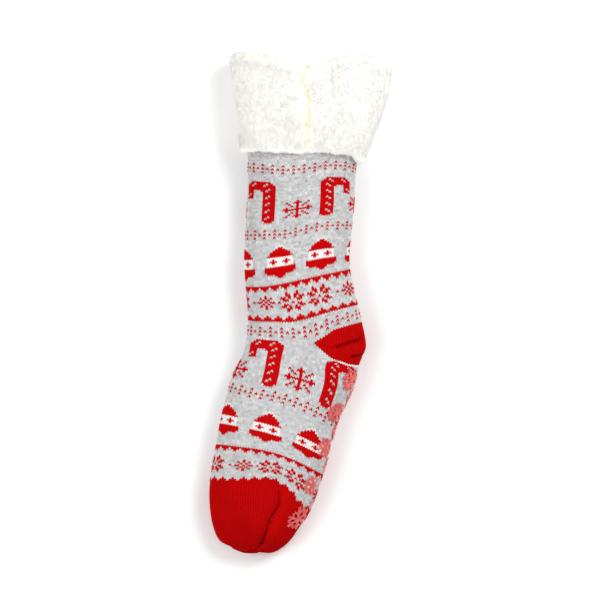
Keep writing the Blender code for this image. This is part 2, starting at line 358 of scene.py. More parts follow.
CREASES = (
    # Heel fold
    Crease(0.0030, 0.0014, 0.36, (
        (0.0290, -0.0388), (0.0354, -0.0376), (0.0410, -0.0354), (0.0466, -0.0339),
        (0.0513, -0.0320), (0.0533, -0.0301))),
    # Heel lower fold
    Crease(0.0022, 0.0012, 0.26, (
        (0.0428, -0.0474), (0.0484, -0.0466), (0.0559, -0.0457))),
    # Heel bulge
    Crease(-0.0014, 0.0050, 0.0, ((0.0330, -0.0420), (0.0500, -0.0400))),
    # Toe fold
    Crease(0.0018, 0.0008, 0.38, (
        (-0.0183, -0.1540), (-0.0181, -0.1650), (-0.0180, -0.1741), (-0.0216, -0.1804),
        (-0.0258, -0.1869), (-0.0280, -0.1940), (-0.0301, -0.2012), (-0.0323, -0.2068),
        (-0.0347, -0.2097), (-0.0384, -0.2110))),
    # Toe shadow
    Crease(0.0007, 0.0028, 0.07, (
        (-0.0200, -0.1600), (-0.0198, -0.1741), (-0.0234, -0.1804), (-0.0276, -0.1869),
        (-0.0298, -0.1940), (-0.0319, -0.2012), (-0.0345, -0.2075))),
    # Toe roll, with a painted highlight along it
    Crease(-0.0014, 0.0050, -0.06, (
        (-0.0120, -0.1600), (-0.0125, -0.1760), (-0.0190, -0.1900), (-0.0260, -0.2020))),
    # Toe seam shadow
    Crease(0.0010, 0.0008, 0.30, (
        (-0.0540, -0.2126), (-0.0495, -0.2143), (-0.0452, -0.2149), (-0.0401, -0.2132),
        (-0.0358, -0.2112))),
    # Toe seam: a low ridge, painted lighter along it
    Crease(-0.0005, 0.0007, -0.70, (
        (-0.0538, -0.2112), (-0.0495, -0.2130), (-0.0452, -0.2136), (-0.0401, -0.2116),
        (-0.0358, -0.2099))),
    # Ankle fold
    Crease(0.0014, 0.0070, 0.04, (
        (0.0030, -0.0120), (0.0090, -0.0260), (0.0100, -0.0340))),
    # Leg hollow
    Crease(0.0010, 0.0120, 0.0, ((0.0120, 0.1100), (0.0100, 0.0500), (0.0060, 0.0050))),
)

# The knit's soft unevenness: how many waves, how often each goes round, how steeply it runs along
# the rows, and its height
UNEVEN_WAVES = 14
UNEVEN_ROUND = (1, 7)
UNEVEN_ALONG = (0.25, 1.9)
UNEVEN_HEIGHT = (0.00006, 0.00022)

# The cuff's seam on top, in plan, and the small creases of the pile beside it and near the folds
CUFF_SEAM = (
    (0.0081, 0.2100), (0.0070, 0.2040), (0.0029, 0.1947), (0.0015, 0.1874), (0.0055, 0.1801),
    (0.0081, 0.1603), (0.0064, 0.1422), (0.0055, 0.1250),
)
PILE_CREASES = (
    ((-0.0560, 0.1820), (-0.0500, 0.1812), (-0.0450, 0.1805)),
    ((-0.0575, 0.1720), (-0.0500, 0.1660), (-0.0440, 0.1625), (-0.0390, 0.1622)),
    ((-0.0560, 0.1580), (-0.0510, 0.1530)),
    ((-0.0540, 0.1400), (-0.0490, 0.1375), (-0.0450, 0.1385)),
    ((0.0110, 0.1900), (0.0125, 0.1800), (0.0105, 0.1700)),
    ((0.0210, 0.1850), (0.0225, 0.1740), (0.0200, 0.1650)),
    ((0.0330, 0.1930), (0.0340, 0.1800)),
    ((0.0130, 0.1560), (0.0120, 0.1480), (0.0150, 0.1420)),
)
# How far these creases reach, how deep they are in pile heights, how much cream painted shade
# they get, and how much weaker at their last point
PILE_CREASE_REACH = 0.0011
PILE_CREASE_RELIEF = 0.4
PILE_CREASE_PAINTED_SHADE = 0.30
PILE_CREASE_FADE = 0.6

# One stitch: two legs of yarn that meet towards the cuff. Each leg has a tip, two sections of
# three points and a tip: its place across in wales, along in courses and out in yarn heights.
YARN_CENTRE = ((0.00, -0.95), (0.13, -0.48), (0.38, 0.42), (0.50, 0.88))
YARN_HALF_WIDTH = 0.205
YARN_SLANT = 0.02
YARN_HEIGHTS = (-0.10, 0.95, 1.0, -0.30)
YARN_EDGE_HEIGHT = -0.25
YARN_FACES = (
    (0, 1, 2), (0, 2, 3), (1, 4, 5), (1, 5, 2), (2, 5, 6), (2, 6, 3), (4, 7, 5), (5, 7, 6),
)
# How light painted shade leaves a leg at its inner tip, along its ridge, along its edges and at
# its outer tip
TIP_IN_SHADE, RIDGE_SHADE, EDGE_SHADE, TIP_OUT_SHADE = 0.80, 1.0, 0.78, 0.74
# The strand behind each stitch, darkened by painted shade
BACK_CORNERS = ((-0.54, -0.44), (0.54, -0.44), (0.54, 0.50), (-0.54, 0.50))
BACK_FACES = ((0, 3, 1), (1, 3, 2))
BACK_HEIGHT = -0.55
BACK_SHADE = 0.72
# How much higher the motifs' stitches stand than the ground's, in yarn heights
MOTIF_RAISE = 0.85
# How much darker painted shade makes plain knitting between its wales, where that starts and
# how far it goes, in wales from the middle of one, and how much of its painted shade white yarn
# keeps
WALE_SHADE = 0.40
WALE_SHADE_START = 0.22
WALE_SHADE_WIDTH = 0.30
WHITE_SHADE_SHARE = 0.45
# The grey's streaks along the courses, its flecks, and the small unevenness of every yarn
STREAK_COURSES = 260
STREAK_FLECK = 0.080
STITCH_FLECK = 0.100
YARN_FLECK = 0.02

# The heel is knitted in two halves of this many courses, spaced within these rows of SECTIONS in
# this many steps
HEEL_COURSES = 40
HEEL_REACH = (10.5, 15.0)
HEEL_STEPS = 271
# The widest the toe's knitting can be on one side of its fold, and how far its instep overlaps
TOE_WALES = 46
TOE_OVERLAP = 0.006

# The sheet behind the stitches: its first row, its last before the toe's tip, its grid, how deep
# it lies and how much darker painted shade makes it
BACKING_START = 3.4
BACKING_END_ROWS = 0.03
BACKING_ROWS = 216
BACKING_COLUMNS = 192
BACKING_DEPTH = 0.0003
BACKING_PAINTED_SHADE = 0.8

# The cuff's hem: its row of SECTIONS, its rounding, where it starts to wander, how far it waves,
# and how far it sits from its row at shares of the way round the top
HEM_ROW = 3.9
HEM_ROUND_ROWS = 0.16
HEM_WANDER_ROWS = 0.9
HEM_WAVE = 0.030
HEM_LINE = (
    (0.0, 0.0), (0.03, 0.10), (0.078, -0.22), (0.164, -0.28), (0.23, -0.16), (0.284, -0.08),
    (0.382, -0.13), (0.508, -0.04),
)
# How much of the knit at the collar's edge says which way the cuff's roll stands
COLLAR_EDGE_ROWS = 0.2
# How many steps the cuff's surface takes round the sock, round its hem, up its outside, over its
# top and down its inside
CUFF_COLUMNS = 400
HEM_STEPS = 6
OUTSIDE_STEPS = 104
ROLL_STEPS = 22
INSIDE_STEPS = 34

# The pile's clumps, curls, swells and wandering, in waves a metre
CLUMP_SCALE = 95.0
CURL_SCALE = 230.0
SWELL_SCALE = 40.0
WANDER_SCALE = 120.0
WANDER_REACH = 0.004
# How high its clumps, curls and swells stand, in pile heights, how steeply and from how deep
CLUMP_RELIEF = 0.18
CURL_RELIEF = 0.26
SWELL_RELIEF = 0.2
RELIEF_STEEPNESS = 1.6
PILE_SINK = 0.2
# How wide the clumps and the curls part, and how much cream painted shade the partings get
CLUMP_PARTING, CLUMP_PAINTED_SHADE = 0.26, 0.16
CURL_PARTING, CURL_PAINTED_SHADE = 0.16, 0.30
# How far from the seam's middle its line and its softer band of cream painted shade reach
SEAM_LINE_WIDTH = 0.0023
SEAM_TINT_WIDTH = 0.0075
# How deep that line is in pile heights, how much cream painted shade it and the softer band get,
# and how both vary
SEAM_RELIEF = 1.6
SEAM_LINE_PAINTED_SHADE = 1.05
SEAM_SOFT_PAINTED_SHADE = 0.14
SEAM_WOBBLE = 0.5
SEAM_WOBBLE_SCALE = 220.0
SEAM_PATCHES = 0.45
SEAM_PATCH_SCALE = 60.0
# How much cream painted shade the pile's base gets under its locks
UNDER_LOCKS_PAINTED_SHADE = 0.10

# The locks: how many, their sections, how many rows of them lie on the rolled top, how far round
# it they go, how far they keep from the hem, and how far from the seam they turn away from it
LOCK_COUNT = 22000
LOCK_SECTIONS = 4
ROLL_ROWS = 0.55
ROLL_TURN = math.pi * 0.75
HEM_MARGIN_ROWS = 0.38
SEAM_TURN_WIDTH = 0.012
# How far those also turn towards the hem, and how much of their own heading they lose
SEAM_TURN_DOWN = 0.5
SEAM_TURN_SHARE = 0.7
# Each lock: its length as a share of the set one, its half width, how much of that it loses, how
# far it curls, rises and sinks in, and its heading's sway and spread
LOCK_LENGTHS = (0.5, 1.25)
LOCK_HALF_WIDTH = (0.00012, 0.00024)
LOCK_TAPER = 0.4
LOCK_CURL = 1.4
LOCK_RISE = (0.02, 0.12)
LOCK_SINK = 0.00005
LOCK_SWAY = 1.6
LOCK_SWAY_SCALE = 60.0
LOCK_SPREAD = 0.35
# How cream a lock is at most by itself, and how much of the pile's painted shade under it it takes
LOCK_TINT = 0.05
LOCK_PAINTED_SHADE_SHARE = 0.85

# The lining's first row before the hem's, its last before the toe's, its grid, how far its pile
# stands, its curls in waves a metre, and how wide they part, with cream painted shade there
LINING_START_ROWS = 0.3
LINING_END_ROWS = 1.2
LINING_ROWS = 120
LINING_COLUMNS = 150
LINING_PILE = 0.0014
LINING_SCALE = 150.0
LINING_PARTING = 0.35

# Nothing that is added lies lower than this
FLOOR_SKIN = 0.0001

# The two lights' places and how wide they are
KEY_PLACE, KEY_SIZE = (0.85, 0.75, 1.25), 0.75
FILL_PLACE, FILL_SIZE = (-0.9, -0.2, 1.1), 0.9
# The floor's half width, the height at which the view is as wide as it says, and the view's
# middle along the sock
FLOOR_REACH = 4.0
FOLD_LEVEL = 0.020
CAMERA_AHEAD = 0.0020


def smoothstep(value):
    """An even curve from 0 to 1."""
    value = np.clip(value, 0.0, 1.0)
    return value * value * (3 - 2 * value)


def end_fade(along, steepness, first, last):
    """How strong a crease is along its line, from what is left at its first and last point."""
    return smoothstep(along * steepness + first) * smoothstep((1 - along) * steepness + last)


def stretch_point(stretch, across, along):
    """A place in the leg or the foot, from its shares, in plan."""
    if stretch == "leg":
        return np.array([across * LEG_WIDTH, along * LEG_LENGTH])
    sideways = np.array([math.cos(FOOT_ANGLE), -math.sin(FOOT_ANGLE)])
    return sideways * across * BALL_WIDTH + FOOT_AHEAD[:2] * along * FOOT_LENGTH


def section_table():
    """Both folds' places, the underside and the top of each section, in metres."""
    rows = []
    for section in SECTIONS:
        front = stretch_point(section.stretch, section.front, section.front_along)
        back = stretch_point(section.stretch, section.back, section.back_along)
        heights = (section.low * LYING_HEIGHT, section.high * LYING_HEIGHT)
        rows.append((*front, *back, *heights))
    return np.array(rows)


def smooth_rows(table, rows):
    """The sections at these rows, on a smooth curve through the table."""
    first = np.minimum(rows.astype(int), LAST_ROW - 1)
    t = (rows - first)[:, None]
    before = table[np.maximum(first - 1, 0)]
    start = table[first]
    end = table[first + 1]
    after = table[np.minimum(first + 2, LAST_ROW)]
    slope_in = (end - before) / 2
    slope_out = (after - start) / 2
    cube = 2 * start - 2 * end + slope_in + slope_out
    square = -3 * start + 3 * end - 2 * slope_in - slope_out
    return ((cube * t + square) * t + slope_in) * t + start


def section_points(row, values, angles):
    """Points round one section at these angles."""
    front = values[0:2]
    back = values[2:4]
    low, high = values[4], values[5]
    half = np.hypot(*(back - front)) / 2
    across = (back - front) / (2 * half)
    sine, cosine = np.sin(angles), np.cos(angles)
    roundness = np.where(sine >= 0, TOP_ROUNDNESS, UNDERSIDE_ROUNDNESS)
    reach = np.sign(cosine) * np.abs(cosine) ** (2 / roundness) * half
    rise = np.sign(sine) * np.abs(sine) ** (2 / roundness)
    fold = low + (high - low) * FOLD_HEIGHT
    height = np.maximum(fold + rise * np.where(rise >= 0, high - fold, fold - low), 0.0)
    middle = (front + back) / 2
    fade = max(1.0 - row / COLLAR_FADE_ROWS, 0.0) ** 2
    notch = np.exp(-((cosine * LEG_WIDTH / 2 / NOTCH_HALF_WIDTH) ** 2))
    lobe = np.sin(math.pi * np.maximum(cosine, 0.0))
    lift = fade * (LOBE_RISE * lobe - NOTCH_DEPTH * notch)
    x = middle[0] + across[0] * reach
    y = middle[1] + across[1] * reach + lift
    return np.stack([x, y, height], axis=1)


def run_lengths(points):
    """How far each point is from the first, along its line of points."""
    steps = np.linalg.norm(np.diff(points, axis=0), axis=-1)
    return np.concatenate([np.zeros((1,) + steps.shape[1:]), np.cumsum(steps, axis=0)])


def ring_points(row, values, count):
    """Evenly spaced points round one section."""
    angles = np.linspace(0, 2 * math.pi, FINE_STEPS + 1)
    points = section_points(row, values, angles)
    runs = run_lengths(points)
    shares = np.arange(count) / count
    return section_points(row, values, np.interp(shares * runs[-1], runs, angles)), runs[-1]


def normalise(vectors):
    """The vectors at a length of one."""
    lengths = np.linalg.norm(vectors, axis=-1, keepdims=True)
    return vectors / np.maximum(lengths, 1e-12)


def polyline_distance(points, line):
    """How far each plan point is from a line of points, and the share of the way along it."""
    line = np.array(line)
    best = np.full(points.shape[:-1], np.inf)
    along = np.zeros(points.shape[:-1])
    count = len(line) - 1
    for index in range(count):
        start, end = line[index], line[index + 1]
        step = end - start
        part = ((points - start) @ step) / (step @ step)
        part = np.clip(part, 0.0, 1.0)
        gap = points - (start + part[..., None] * step)
        distance = np.hypot(gap[..., 0], gap[..., 1])
        nearer = distance < best
        best = np.where(nearer, distance, best)
        along = np.where(nearer, (index + part) / count, along)
    return best, along


class Skin:
    """The knit's surface as a fine grid of points and normals, with its creases."""

    def __init__(self):
        table = section_table()
        body_rows = np.arange(LAST_ROW * STEPS_PER_ROW + 1) / STEPS_PER_ROW
        values = smooth_rows(table, body_rows)
        rings = [ring_points(row, value, STEPS_ROUND) for row, value in zip(body_rows, values)]
        points = np.array([ring[0] for ring in rings])
        self.round_lengths = np.array([ring[1] for ring in rings])
        points = np.concatenate([points, self.cap(points[-1])])
        cap_steps = int(CAP_ROWS * STEPS_PER_ROW)
        shrink = np.linspace(1, CAP_END_SHARE, cap_steps + 1)[1:]
        self.round_lengths = np.concatenate([self.round_lengths, self.round_lengths[-1] * shrink])
        points[..., :2] += self.shift_to_frame(table)
        self.rows = np.arange(len(points)) / STEPS_PER_ROW
        self.points = points
        self.normals = self.find_normals()
        self.points = points + self.normals * self.relief()[..., None]
        self.points[..., 2] = np.maximum(self.points[..., 2], 0.0)
        self.normals = self.find_normals()

    def cap(self, toe):
        """The rings that close the toe on its seam."""
        middle = toe.mean(axis=0)
        rings = []
        for step in range(1, int(CAP_ROWS * STEPS_PER_ROW) + 1):
            turn = step / (CAP_ROWS * STEPS_PER_ROW) * math.pi / 2
            shrunk = middle + (toe - middle) * (1 - (1 - CAP_END_SHARE) * math.sin(turn) ** 2)
            rings.append(shrunk + FOOT_AHEAD * CAP_REACH * math.sin(turn))
        return np.array(rings)

    def shift_to_frame(self, table):
        """From the ankle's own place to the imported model's."""
        rows = np.arange(LAST_ROW * 2 + 1) / 2
        values = smooth_rows(table, rows)
        rings = [ring_points(row, value, CAD_POINTS_ROUND)[0] for row, value in zip(rows, values)]
        tip = rings[-1].mean(axis=0) + FOOT_AHEAD * TIP_REACH
        own = np.concatenate(rings + [tip[None]])
        low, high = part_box("knit_sock")
        wanted = (np.array(low[:2]) + np.array(high[:2])) / 2
        return wanted - (own[:, :2].min(axis=0) + own[:, :2].max(axis=0)) / 2

    def find_normals(self):
        """Outward normals of the grid."""
        round_step = np.roll(self.points, -1, axis=1) - np.roll(self.points, 1, axis=1)
        row_step = np.gradient(self.points, axis=0)
        return normalise(np.cross(round_step, row_step))

    def relief(self):
        """How far the knit stands out or sinks in: its creases and its soft unevenness."""
        plan = self.points[..., :2]
        upward = smoothstep(self.normals[..., 2] * 1.6 + 0.5)
        relief = np.zeros(plan.shape[:-1])
        for crease in CREASES:
            distance, along = polyline_distance(plan, crease.points)
            fade = end_fade(along, 4, 0.25, 0.55)
            relief -= crease.depth * np.exp(-((distance / crease.reach) ** 2)) * fade * upward
        waves = np.random.default_rng(5)
        shares = np.arange(STEPS_ROUND) / STEPS_ROUND * 2 * math.pi
        rows = self.rows[:, None]
        for _ in range(UNEVEN_WAVES):
            round_waves = waves.integers(*UNEVEN_ROUND)
            row_waves = waves.uniform(*UNEVEN_ALONG)
            phase = waves.uniform(0, 2 * math.pi)
            height = waves.uniform(*UNEVEN_HEIGHT)
            relief += height * np.sin(round_waves * shares[None] + row_waves * rows + phase)
        seen = np.clip((LAST_ROW - rows) / 2, 0.0, 1.0)
        return relief * seen

    def sample(self, field, row, share):
        """A field of the grid at any row and share."""
        row_place = np.clip(row * STEPS_PER_ROW, 0, len(self.points) - 1.001)
        round_place = (share % 1.0) * STEPS_ROUND
        first_row = row_place.astype(int)
        first_step = round_place.astype(int) % STEPS_ROUND
        row_part = (row_place - first_row)[..., None]
        round_part = (round_place - np.floor(round_place))[..., None]
        next_step = (first_step + 1) % STEPS_ROUND
        lower = field[first_row, first_step] * (1 - round_part)
        lower = lower + field[first_row, next_step] * round_part
        upper = field[first_row + 1, first_step] * (1 - round_part)
        upper = upper + field[first_row + 1, next_step] * round_part
        return lower * (1 - row_part) + upper * row_part

    def at(self, row, share, out=0.0):
        """Points of the skin, moved outwards by out."""
        place = self.sample(self.points, row, share)
        if np.any(out):
            place = place + self.facing(row, share) * np.asarray(out)[..., None]
        return place

    def facing(self, row, share):
        """Normals of the skin."""
        return normalise(self.sample(self.normals, row, share))

    def round_length(self, row):
        """How long the way round is at these rows."""
        return np.interp(row, self.rows, self.round_lengths)


skin = Skin()


def course_rows(courses):
    """A function from a course and a share of the way round to a row of SECTIONS.

    Between the table's courses the stitches are evenly spaced along the knit itself.
    """
    numbers = np.array([course.course for course in courses])
    stops = np.array([course[1:] for course in courses])
    under = (1 - FRONT_SHARE) / FRONT_SHARE
    top = np.array(SHARE_STOPS)
    shares = np.concatenate([top, 1 - top[-2::-1] * under])
    stops = np.concatenate([stops, stops[:, -2::-1]], axis=1)
    fine = np.arange(STEPS_ROUND) / STEPS_ROUND
    lines = np.array([soften(np.interp(fine, shares, line)) for line in stops])
    runs = run_lengths(skin.points)
    every = np.arange(numbers[0], numbers[-1] + 0.5, 0.5)
    rows = np.zeros((len(every), STEPS_ROUND))
    for index in range(STEPS_ROUND):
        run = runs[:, index]
        known = np.interp(lines[:, index], skin.rows, run)
        rows[:, index] = np.interp(even_out(np.interp(every, numbers, known)), run, skin.rows)
    return lambda course, share: line_at(every, rows, course, share)


def even_out(values):
    """A list of values with its bends eased and its ends kept."""
    reach = EASE_STEPS
    before = 2 * values[0] - values[reach:0:-1]
    after = 2 * values[-1] - values[-2:-reach - 2:-1]
    weights = np.hanning(2 * reach + 3)[1:-1]
    padded = np.concatenate([before, values, after])
    return np.convolve(padded, weights / weights.sum(), mode="valid")


def soften(line):
    """A closed line of values with its corners eased."""
    reach = EASE_STEPS
    weights = np.exp(-((np.arange(-reach, reach + 1) / EASE_WIDTH) ** 2))
    weights /= weights.sum()
    wrapped = np.concatenate([line[-reach:], line, line[:reach]])
    return np.convolve(wrapped, weights, mode="valid")


def line_at(numbers, lines, course, share):
    """A value between two numbered lines at a share of the way round."""
    course, share = np.broadcast_arrays(course, share)
    place = np.interp(course, numbers, np.arange(len(numbers)))
    first = np.minimum(place.astype(int), len(numbers) - 2)
    part = place - first
    round_place = (share % 1.0) * STEPS_ROUND
    step = round_place.astype(int) % STEPS_ROUND
    step_part = round_place - np.floor(round_place)
    after = (step + 1) % STEPS_ROUND
    lower = lines[first, step] * (1 - step_part) + lines[first, after] * step_part
    upper = lines[first + 1, step] * (1 - step_part) + lines[first + 1, after] * step_part
    return lower * (1 - part) + upper * part


leg_row = course_rows(LEG_COURSES)
foot_row = course_rows(FOOT_COURSES)
toe_row = course_rows(TOE_COURSES)


def mirrored_share(share):
    """The share on the top side that mirrors one on the underside."""
    share = share % 1.0
    under = FRONT_SHARE / (1 - FRONT_SHARE)
    return np.where(share > FRONT_SHARE, (1 - share) * under, share)


def leg_place(course, wale):
    """The row and share of a place in the leg's knitting."""
    share = np.asarray(wale) / WALES
    return leg_row(course, share), share


def foot_place(course, wale):
    """The row and share of a place in the foot's knitting, which turns a little on the foot."""
    courses, drifts = np.array(FOOT_DRIFT).T
    course, wale = np.broadcast_arrays(course, wale)
    share = (wale + np.interp(course, courses, drifts)) / WALES
    return foot_row(course, share), share


def grid_places(rows, columns):
    """The row and the share of each point of a grid that goes evenly round the sock."""
    return np.meshgrid(rows, np.arange(columns) / columns, indexing="ij")


def heel_rows():
    """Functions from a course and share to a row, for the heel above and below its gore."""
    rows = np.linspace(*HEEL_REACH, HEEL_STEPS)
    shares = np.arange(STEPS_ROUND) / STEPS_ROUND
    runs = run_lengths(skin.at(*grid_places(rows, STEPS_ROUND)))
    numbers = np.arange(HEEL_COURSES + 1)
    upper = np.zeros((len(numbers), STEPS_ROUND))
    lower = np.zeros((len(numbers), STEPS_ROUND))
    for index, share in enumerate(shares):
        start = np.interp(leg_row(LEG_END, share), rows, runs[:, index])
        end = np.interp(foot_row(0, share), rows, runs[:, index])
        upper[:, index] = np.interp(start + numbers * COURSE_HEIGHT, runs[:, index], rows)
        lower[:, index] = np.interp(end - numbers * COURSE_HEIGHT, runs[:, index], rows)
    return (
        lambda course, share: line_at(numbers, upper, course, share),
        lambda course, share: line_at(numbers, lower, course, share),
    )


def gore_row(share):
    """The row of the heel's gore line."""
    line = np.array(GORE_LINE)
    return np.interp(mirrored_share(share), line[:, 0], line[:, 1])


def toe_share(row, wale, start):
    """The share of a toe wale that keeps its distance from the fold at start."""
    return start + wale * TOE_WALE / skin.round_length(row)


def toe_place(start):
    """A function from a toe course and a wale, counted from the fold at start, to its place."""
    def place(course, wale):
        course, wale = np.broadcast_arrays(np.asarray(course, float), np.asarray(wale, float))
        row = toe_row(course, start + 0 * wale)
        for _ in range(6):
            row = toe_row(course, toe_share(row, wale, start))
        return row, toe_share(row, wale, start)
    return place


def blank_chart(courses):
    """A chart of ground stitches."""
    return np.full((courses, WALES), ".", dtype="<U1")


def stamp(chart, motif, course, wale, mirrored=False):
    """Knits a motif into a chart, its middle on a wale. Wales run from right to left."""
    width = len(motif[0])
    for down, line in enumerate(motif):
        for index, stitch in enumerate(line):
            across = index if mirrored else width - 1 - index
            if stitch != ".":
                chart[course + down, (wale + across - width // 2) % WALES] = stitch


def stamp_repeat(chart, motif, course, first):
    """Knits a narrow motif all the way round."""
    width = len(motif[0])
    for start in range(0, WALES, width):
        for down, line in enumerate(motif):
            for index, stitch in enumerate(line):
                if stitch != ".":
                    chart[course + down, (first + start + index) % WALES] = stitch


def stamp_florets(chart, course, first):
    """Knits the band of small and large florets with single stitches between them."""
    middle = len(LARGE_FLORET) // 2
    drop = middle - len(SMALL_FLORET) // 2
    for start in range(first, first + WALES, FLORET_PITCH):
        stamp(chart, SMALL_FLORET, course + drop, start)
        stamp(chart, LARGE_FLORET, course, start + SMALL_TO_SECOND_LARGE)
        stamp(chart, LARGE_FLORET, course, start + SMALL_TO_FIRST_LARGE)
        chart[course + middle, (start + SMALL_TO_DOT) % WALES] = "R"
        chart[course + middle, (start - SMALL_TO_DOT) % WALES] = "R"


def stamp_figures(chart, top, trees, motifs, bells):
    """Knits the trees, then the canes and snowflakes, then the band of bells."""
    for course, first in trees:
        stamp_repeat(chart, TREES, top + course, first)
    for motif in motifs:
        stamp(chart, motif.chart, top + motif.course, motif.wale, motif.mirrored)
    course, first = bells
    for start in range(first, first + WALES, BELL_PITCH):
        stamp(chart, BELL, top + course, start + len(BELL[0]) // 2)


def leg_chart():
    """The leg's colours from under the cuff to the heel."""
    chart = blank_chart(LEG_END - LEG_START)
    top = -LEG_START
    stamp_figures(chart, top, LEG_TREES, LEG_MOTIFS, LEG_BELLS)
    stamp_repeat(chart, TEETH_DOWN, top + LEG_TEETH_DOWN[0], LEG_TEETH_DOWN[1])
    stamp_florets(chart, top + LEG_FLORETS[0], LEG_FLORETS[1])
    stamp_repeat(chart, TEETH_UP, top + LEG_TEETH_UP[0], LEG_TEETH_UP[1])
    return chart


def foot_chart():
    """The foot's colours from the heel to the toe."""
    chart = blank_chart(FOOT_END)
    stamp_figures(chart, 0, FOOT_TREES, FOOT_MOTIFS, FOOT_BELLS)
    stamp_repeat(chart, TEETH_DOWN, FOOT_TEETH_DOWN[0], FOOT_TEETH_DOWN[1])
    stamp_florets(chart, FOOT_FLORETS[0], FOOT_FLORETS[1])
    stamp_repeat(chart, TOE_TEETH, FOOT_END - len(TOE_TEETH), 0)
    for wale in range(-WHITE_COURSE_WALES, WHITE_COURSE_WALES + 1):
        chart[0, wale % WALES] = "W"
    return chart


def stitch_template():
    """The points of one stitch (across, along, out), its faces, and each point's painted shade."""
    points = []
    faces = []
    shades = []
    for side in (-1, 1):
        first = len(points)
        tip_in, near, far, tip_out = YARN_CENTRE
        points.append((side * tip_in[0], tip_in[1], YARN_HEIGHTS[0]))
        shades.append(TIP_IN_SHADE)
        for centre, height in ((near, YARN_HEIGHTS[1]), (far, YARN_HEIGHTS[2])):
            for step in (-1, 0, 1):
                across = side * centre[0] + step * YARN_HALF_WIDTH
                along = centre[1] - side * step * YARN_SLANT
                points.append((across, along, height if step == 0 else YARN_EDGE_HEIGHT))
                shades.append(RIDGE_SHADE if step == 0 else EDGE_SHADE)
        points.append((side * tip_out[0], tip_out[1], YARN_HEIGHTS[3]))
        shades.append(TIP_OUT_SHADE)
        faces += [[first + corner for corner in face] for face in YARN_FACES]
    first = len(points)
    for across, along in BACK_CORNERS:
        points.append((across, along, BACK_HEIGHT))
        shades.append(BACK_SHADE)
    faces += [[first + corner for corner in face] for face in BACK_FACES]
    return np.array(points), np.array(faces), np.array(shades)


def mesh_piece(name, points, faces, material, colours):
    """A piece from arrays of points and triangles or quads, with a colour for each point."""
    points = np.array(points, float)
    points[:, 2] = np.maximum(points[:, 2], FLOOR_SKIN)
    data = bpy.data.meshes.new(name)
    corners = faces.shape[1]
    data.vertices.add(len(points))
    data.vertices.foreach_set("co", points.ravel())
    data.loops.add(faces.size)
    data.loops.foreach_set("vertex_index", faces.ravel().astype(np.int32))
    data.polygons.add(len(faces))
    starts = np.arange(len(faces), dtype=np.int32) * corners
    data.polygons.foreach_set("loop_start", starts)
    data.update(calc_edges=True)
    data.validate()
    data.shade_smooth()
    # Each point's colour, with its painted shade multiplied in
    layer = data.attributes.new("tint_and_painted_shade", "FLOAT_COLOR", "POINT")
    alpha = np.ones((len(colours), 1))
    layer.data.foreach_set("color", np.concatenate([colours, alpha], axis=1).ravel())
    data.materials.append(material)
    piece = bpy.data.objects.new(name, data)
    bpy.context.scene.collection.objects.link(piece)
    return piece


STITCH_POINTS, STITCH_FACES, STITCH_PAINTED_SHADES = stitch_template()


def yarn_shades(code):
    """The painted shade of one stitch's points in one of the chart's yarns."""
    if code == "P":
        beyond = np.abs(STITCH_POINTS[:, 0]) - WALE_SHADE_START
        return 1.0 - WALE_SHADE * smoothstep(beyond / WALE_SHADE_WIDTH)
    if code == "W":
        return 1.0 - (1.0 - STITCH_PAINTED_SHADES) * WHITE_SHADE_SHARE
    return STITCH_PAINTED_SHADES


def lay_stitches(place, courses, wales, raised):
    """The points of the stitches at these whole courses and wales, some of them raised."""
    middle = skin.at(*place(courses + 0.5, wales + 0.5))
    facing = skin.facing(*place(courses + 0.5, wales + 0.5))
    across = skin.at(*place(courses + 0.5, wales + 1.0)) - skin.at(*place(courses + 0.5, wales))
    along = skin.at(*place(courses + 1.0, wales + 0.5)) - skin.at(*place(courses, wales + 0.5))
    across_share, along_share, out = STITCH_POINTS.T
    height = bpy.context.scene.sock_knit.yarn_height
    points = middle[:, None] + across[:, None] * across_share[None, :, None]
    points = points + along[:, None] * along_share[None, :, None]
    out = out[None, :] + raised[:, None] * MOTIF_RAISE * (out > BACK_HEIGHT)[None, :]
    return points + facing[:, None] * (out * height)[:, :, None]


def stitch_faces(count):
    """The faces of this many stitches, numbered on."""
    offsets = np.arange(count)[:, None, None] * len(STITCH_POINTS)
    return (STITCH_FACES[None] + offsets).reshape(-1, 3)


def heather(courses, wales, random):
    """How light each grey stitch is: flecks, with streaks along the courses."""
    streaks = random.normal(0, 1, (STREAK_COURSES, 3 * WALES))
    weights = np.ones(3) / 3
    streaks = np.apply_along_axis(lambda line: np.convolve(line, weights, "same"), 1, streaks)
    courses = courses.astype(int)
    wales = wales.astype(int)
    fleck = streaks[courses % STREAK_COURSES, wales % (3 * WALES)] * STREAK_FLECK
    return 1.0 + fleck + random.normal(0, STITCH_FLECK, len(courses))


def stitch_colours(codes, courses, wales, seed):
    """A colour for each point of each stitch, darkened by its painted shade."""
    knit = bpy.context.scene.sock_knit
    random = np.random.default_rng(seed)
    yarns = {".": knit.grey, "R": knit.red, "P": knit.plain_red, "W": knit.white}
    base = np.array([tuple(yarns[code]) for code in codes])
    lightness = np.where(codes == ".", heather(courses, wales, random), 1.0)
    lightness = lightness * (1 + random.normal(0, YARN_FLECK, len(codes)))
    base = np.clip(base * lightness[:, None], 0.0, 1.0)
    # Each yarn's painted shade: darker at the stitches' edges, tips and backs, and between plain
    # wales
    shades = {code: yarn_shades(code) for code in yarns}
    shade = np.array([shades[code] for code in codes])
    return (base[:, None] * shade[:, :, None]).reshape(-1, 3)


def painted_crease_shade(points, upward):
    """How light each point is beside the top side's creases: painted shade, lighter where
    negative.
    """
    light = np.ones(points.shape[:-1])
    for crease in CREASES:
        if crease.shade:
            distance, along = polyline_distance(points[..., :2], crease.points)
            fade = end_fade(along, 5, 0.2, 0.4)
            light -= crease.shade * np.exp(-((distance / crease.reach) ** 2)) * fade * upward
    return light


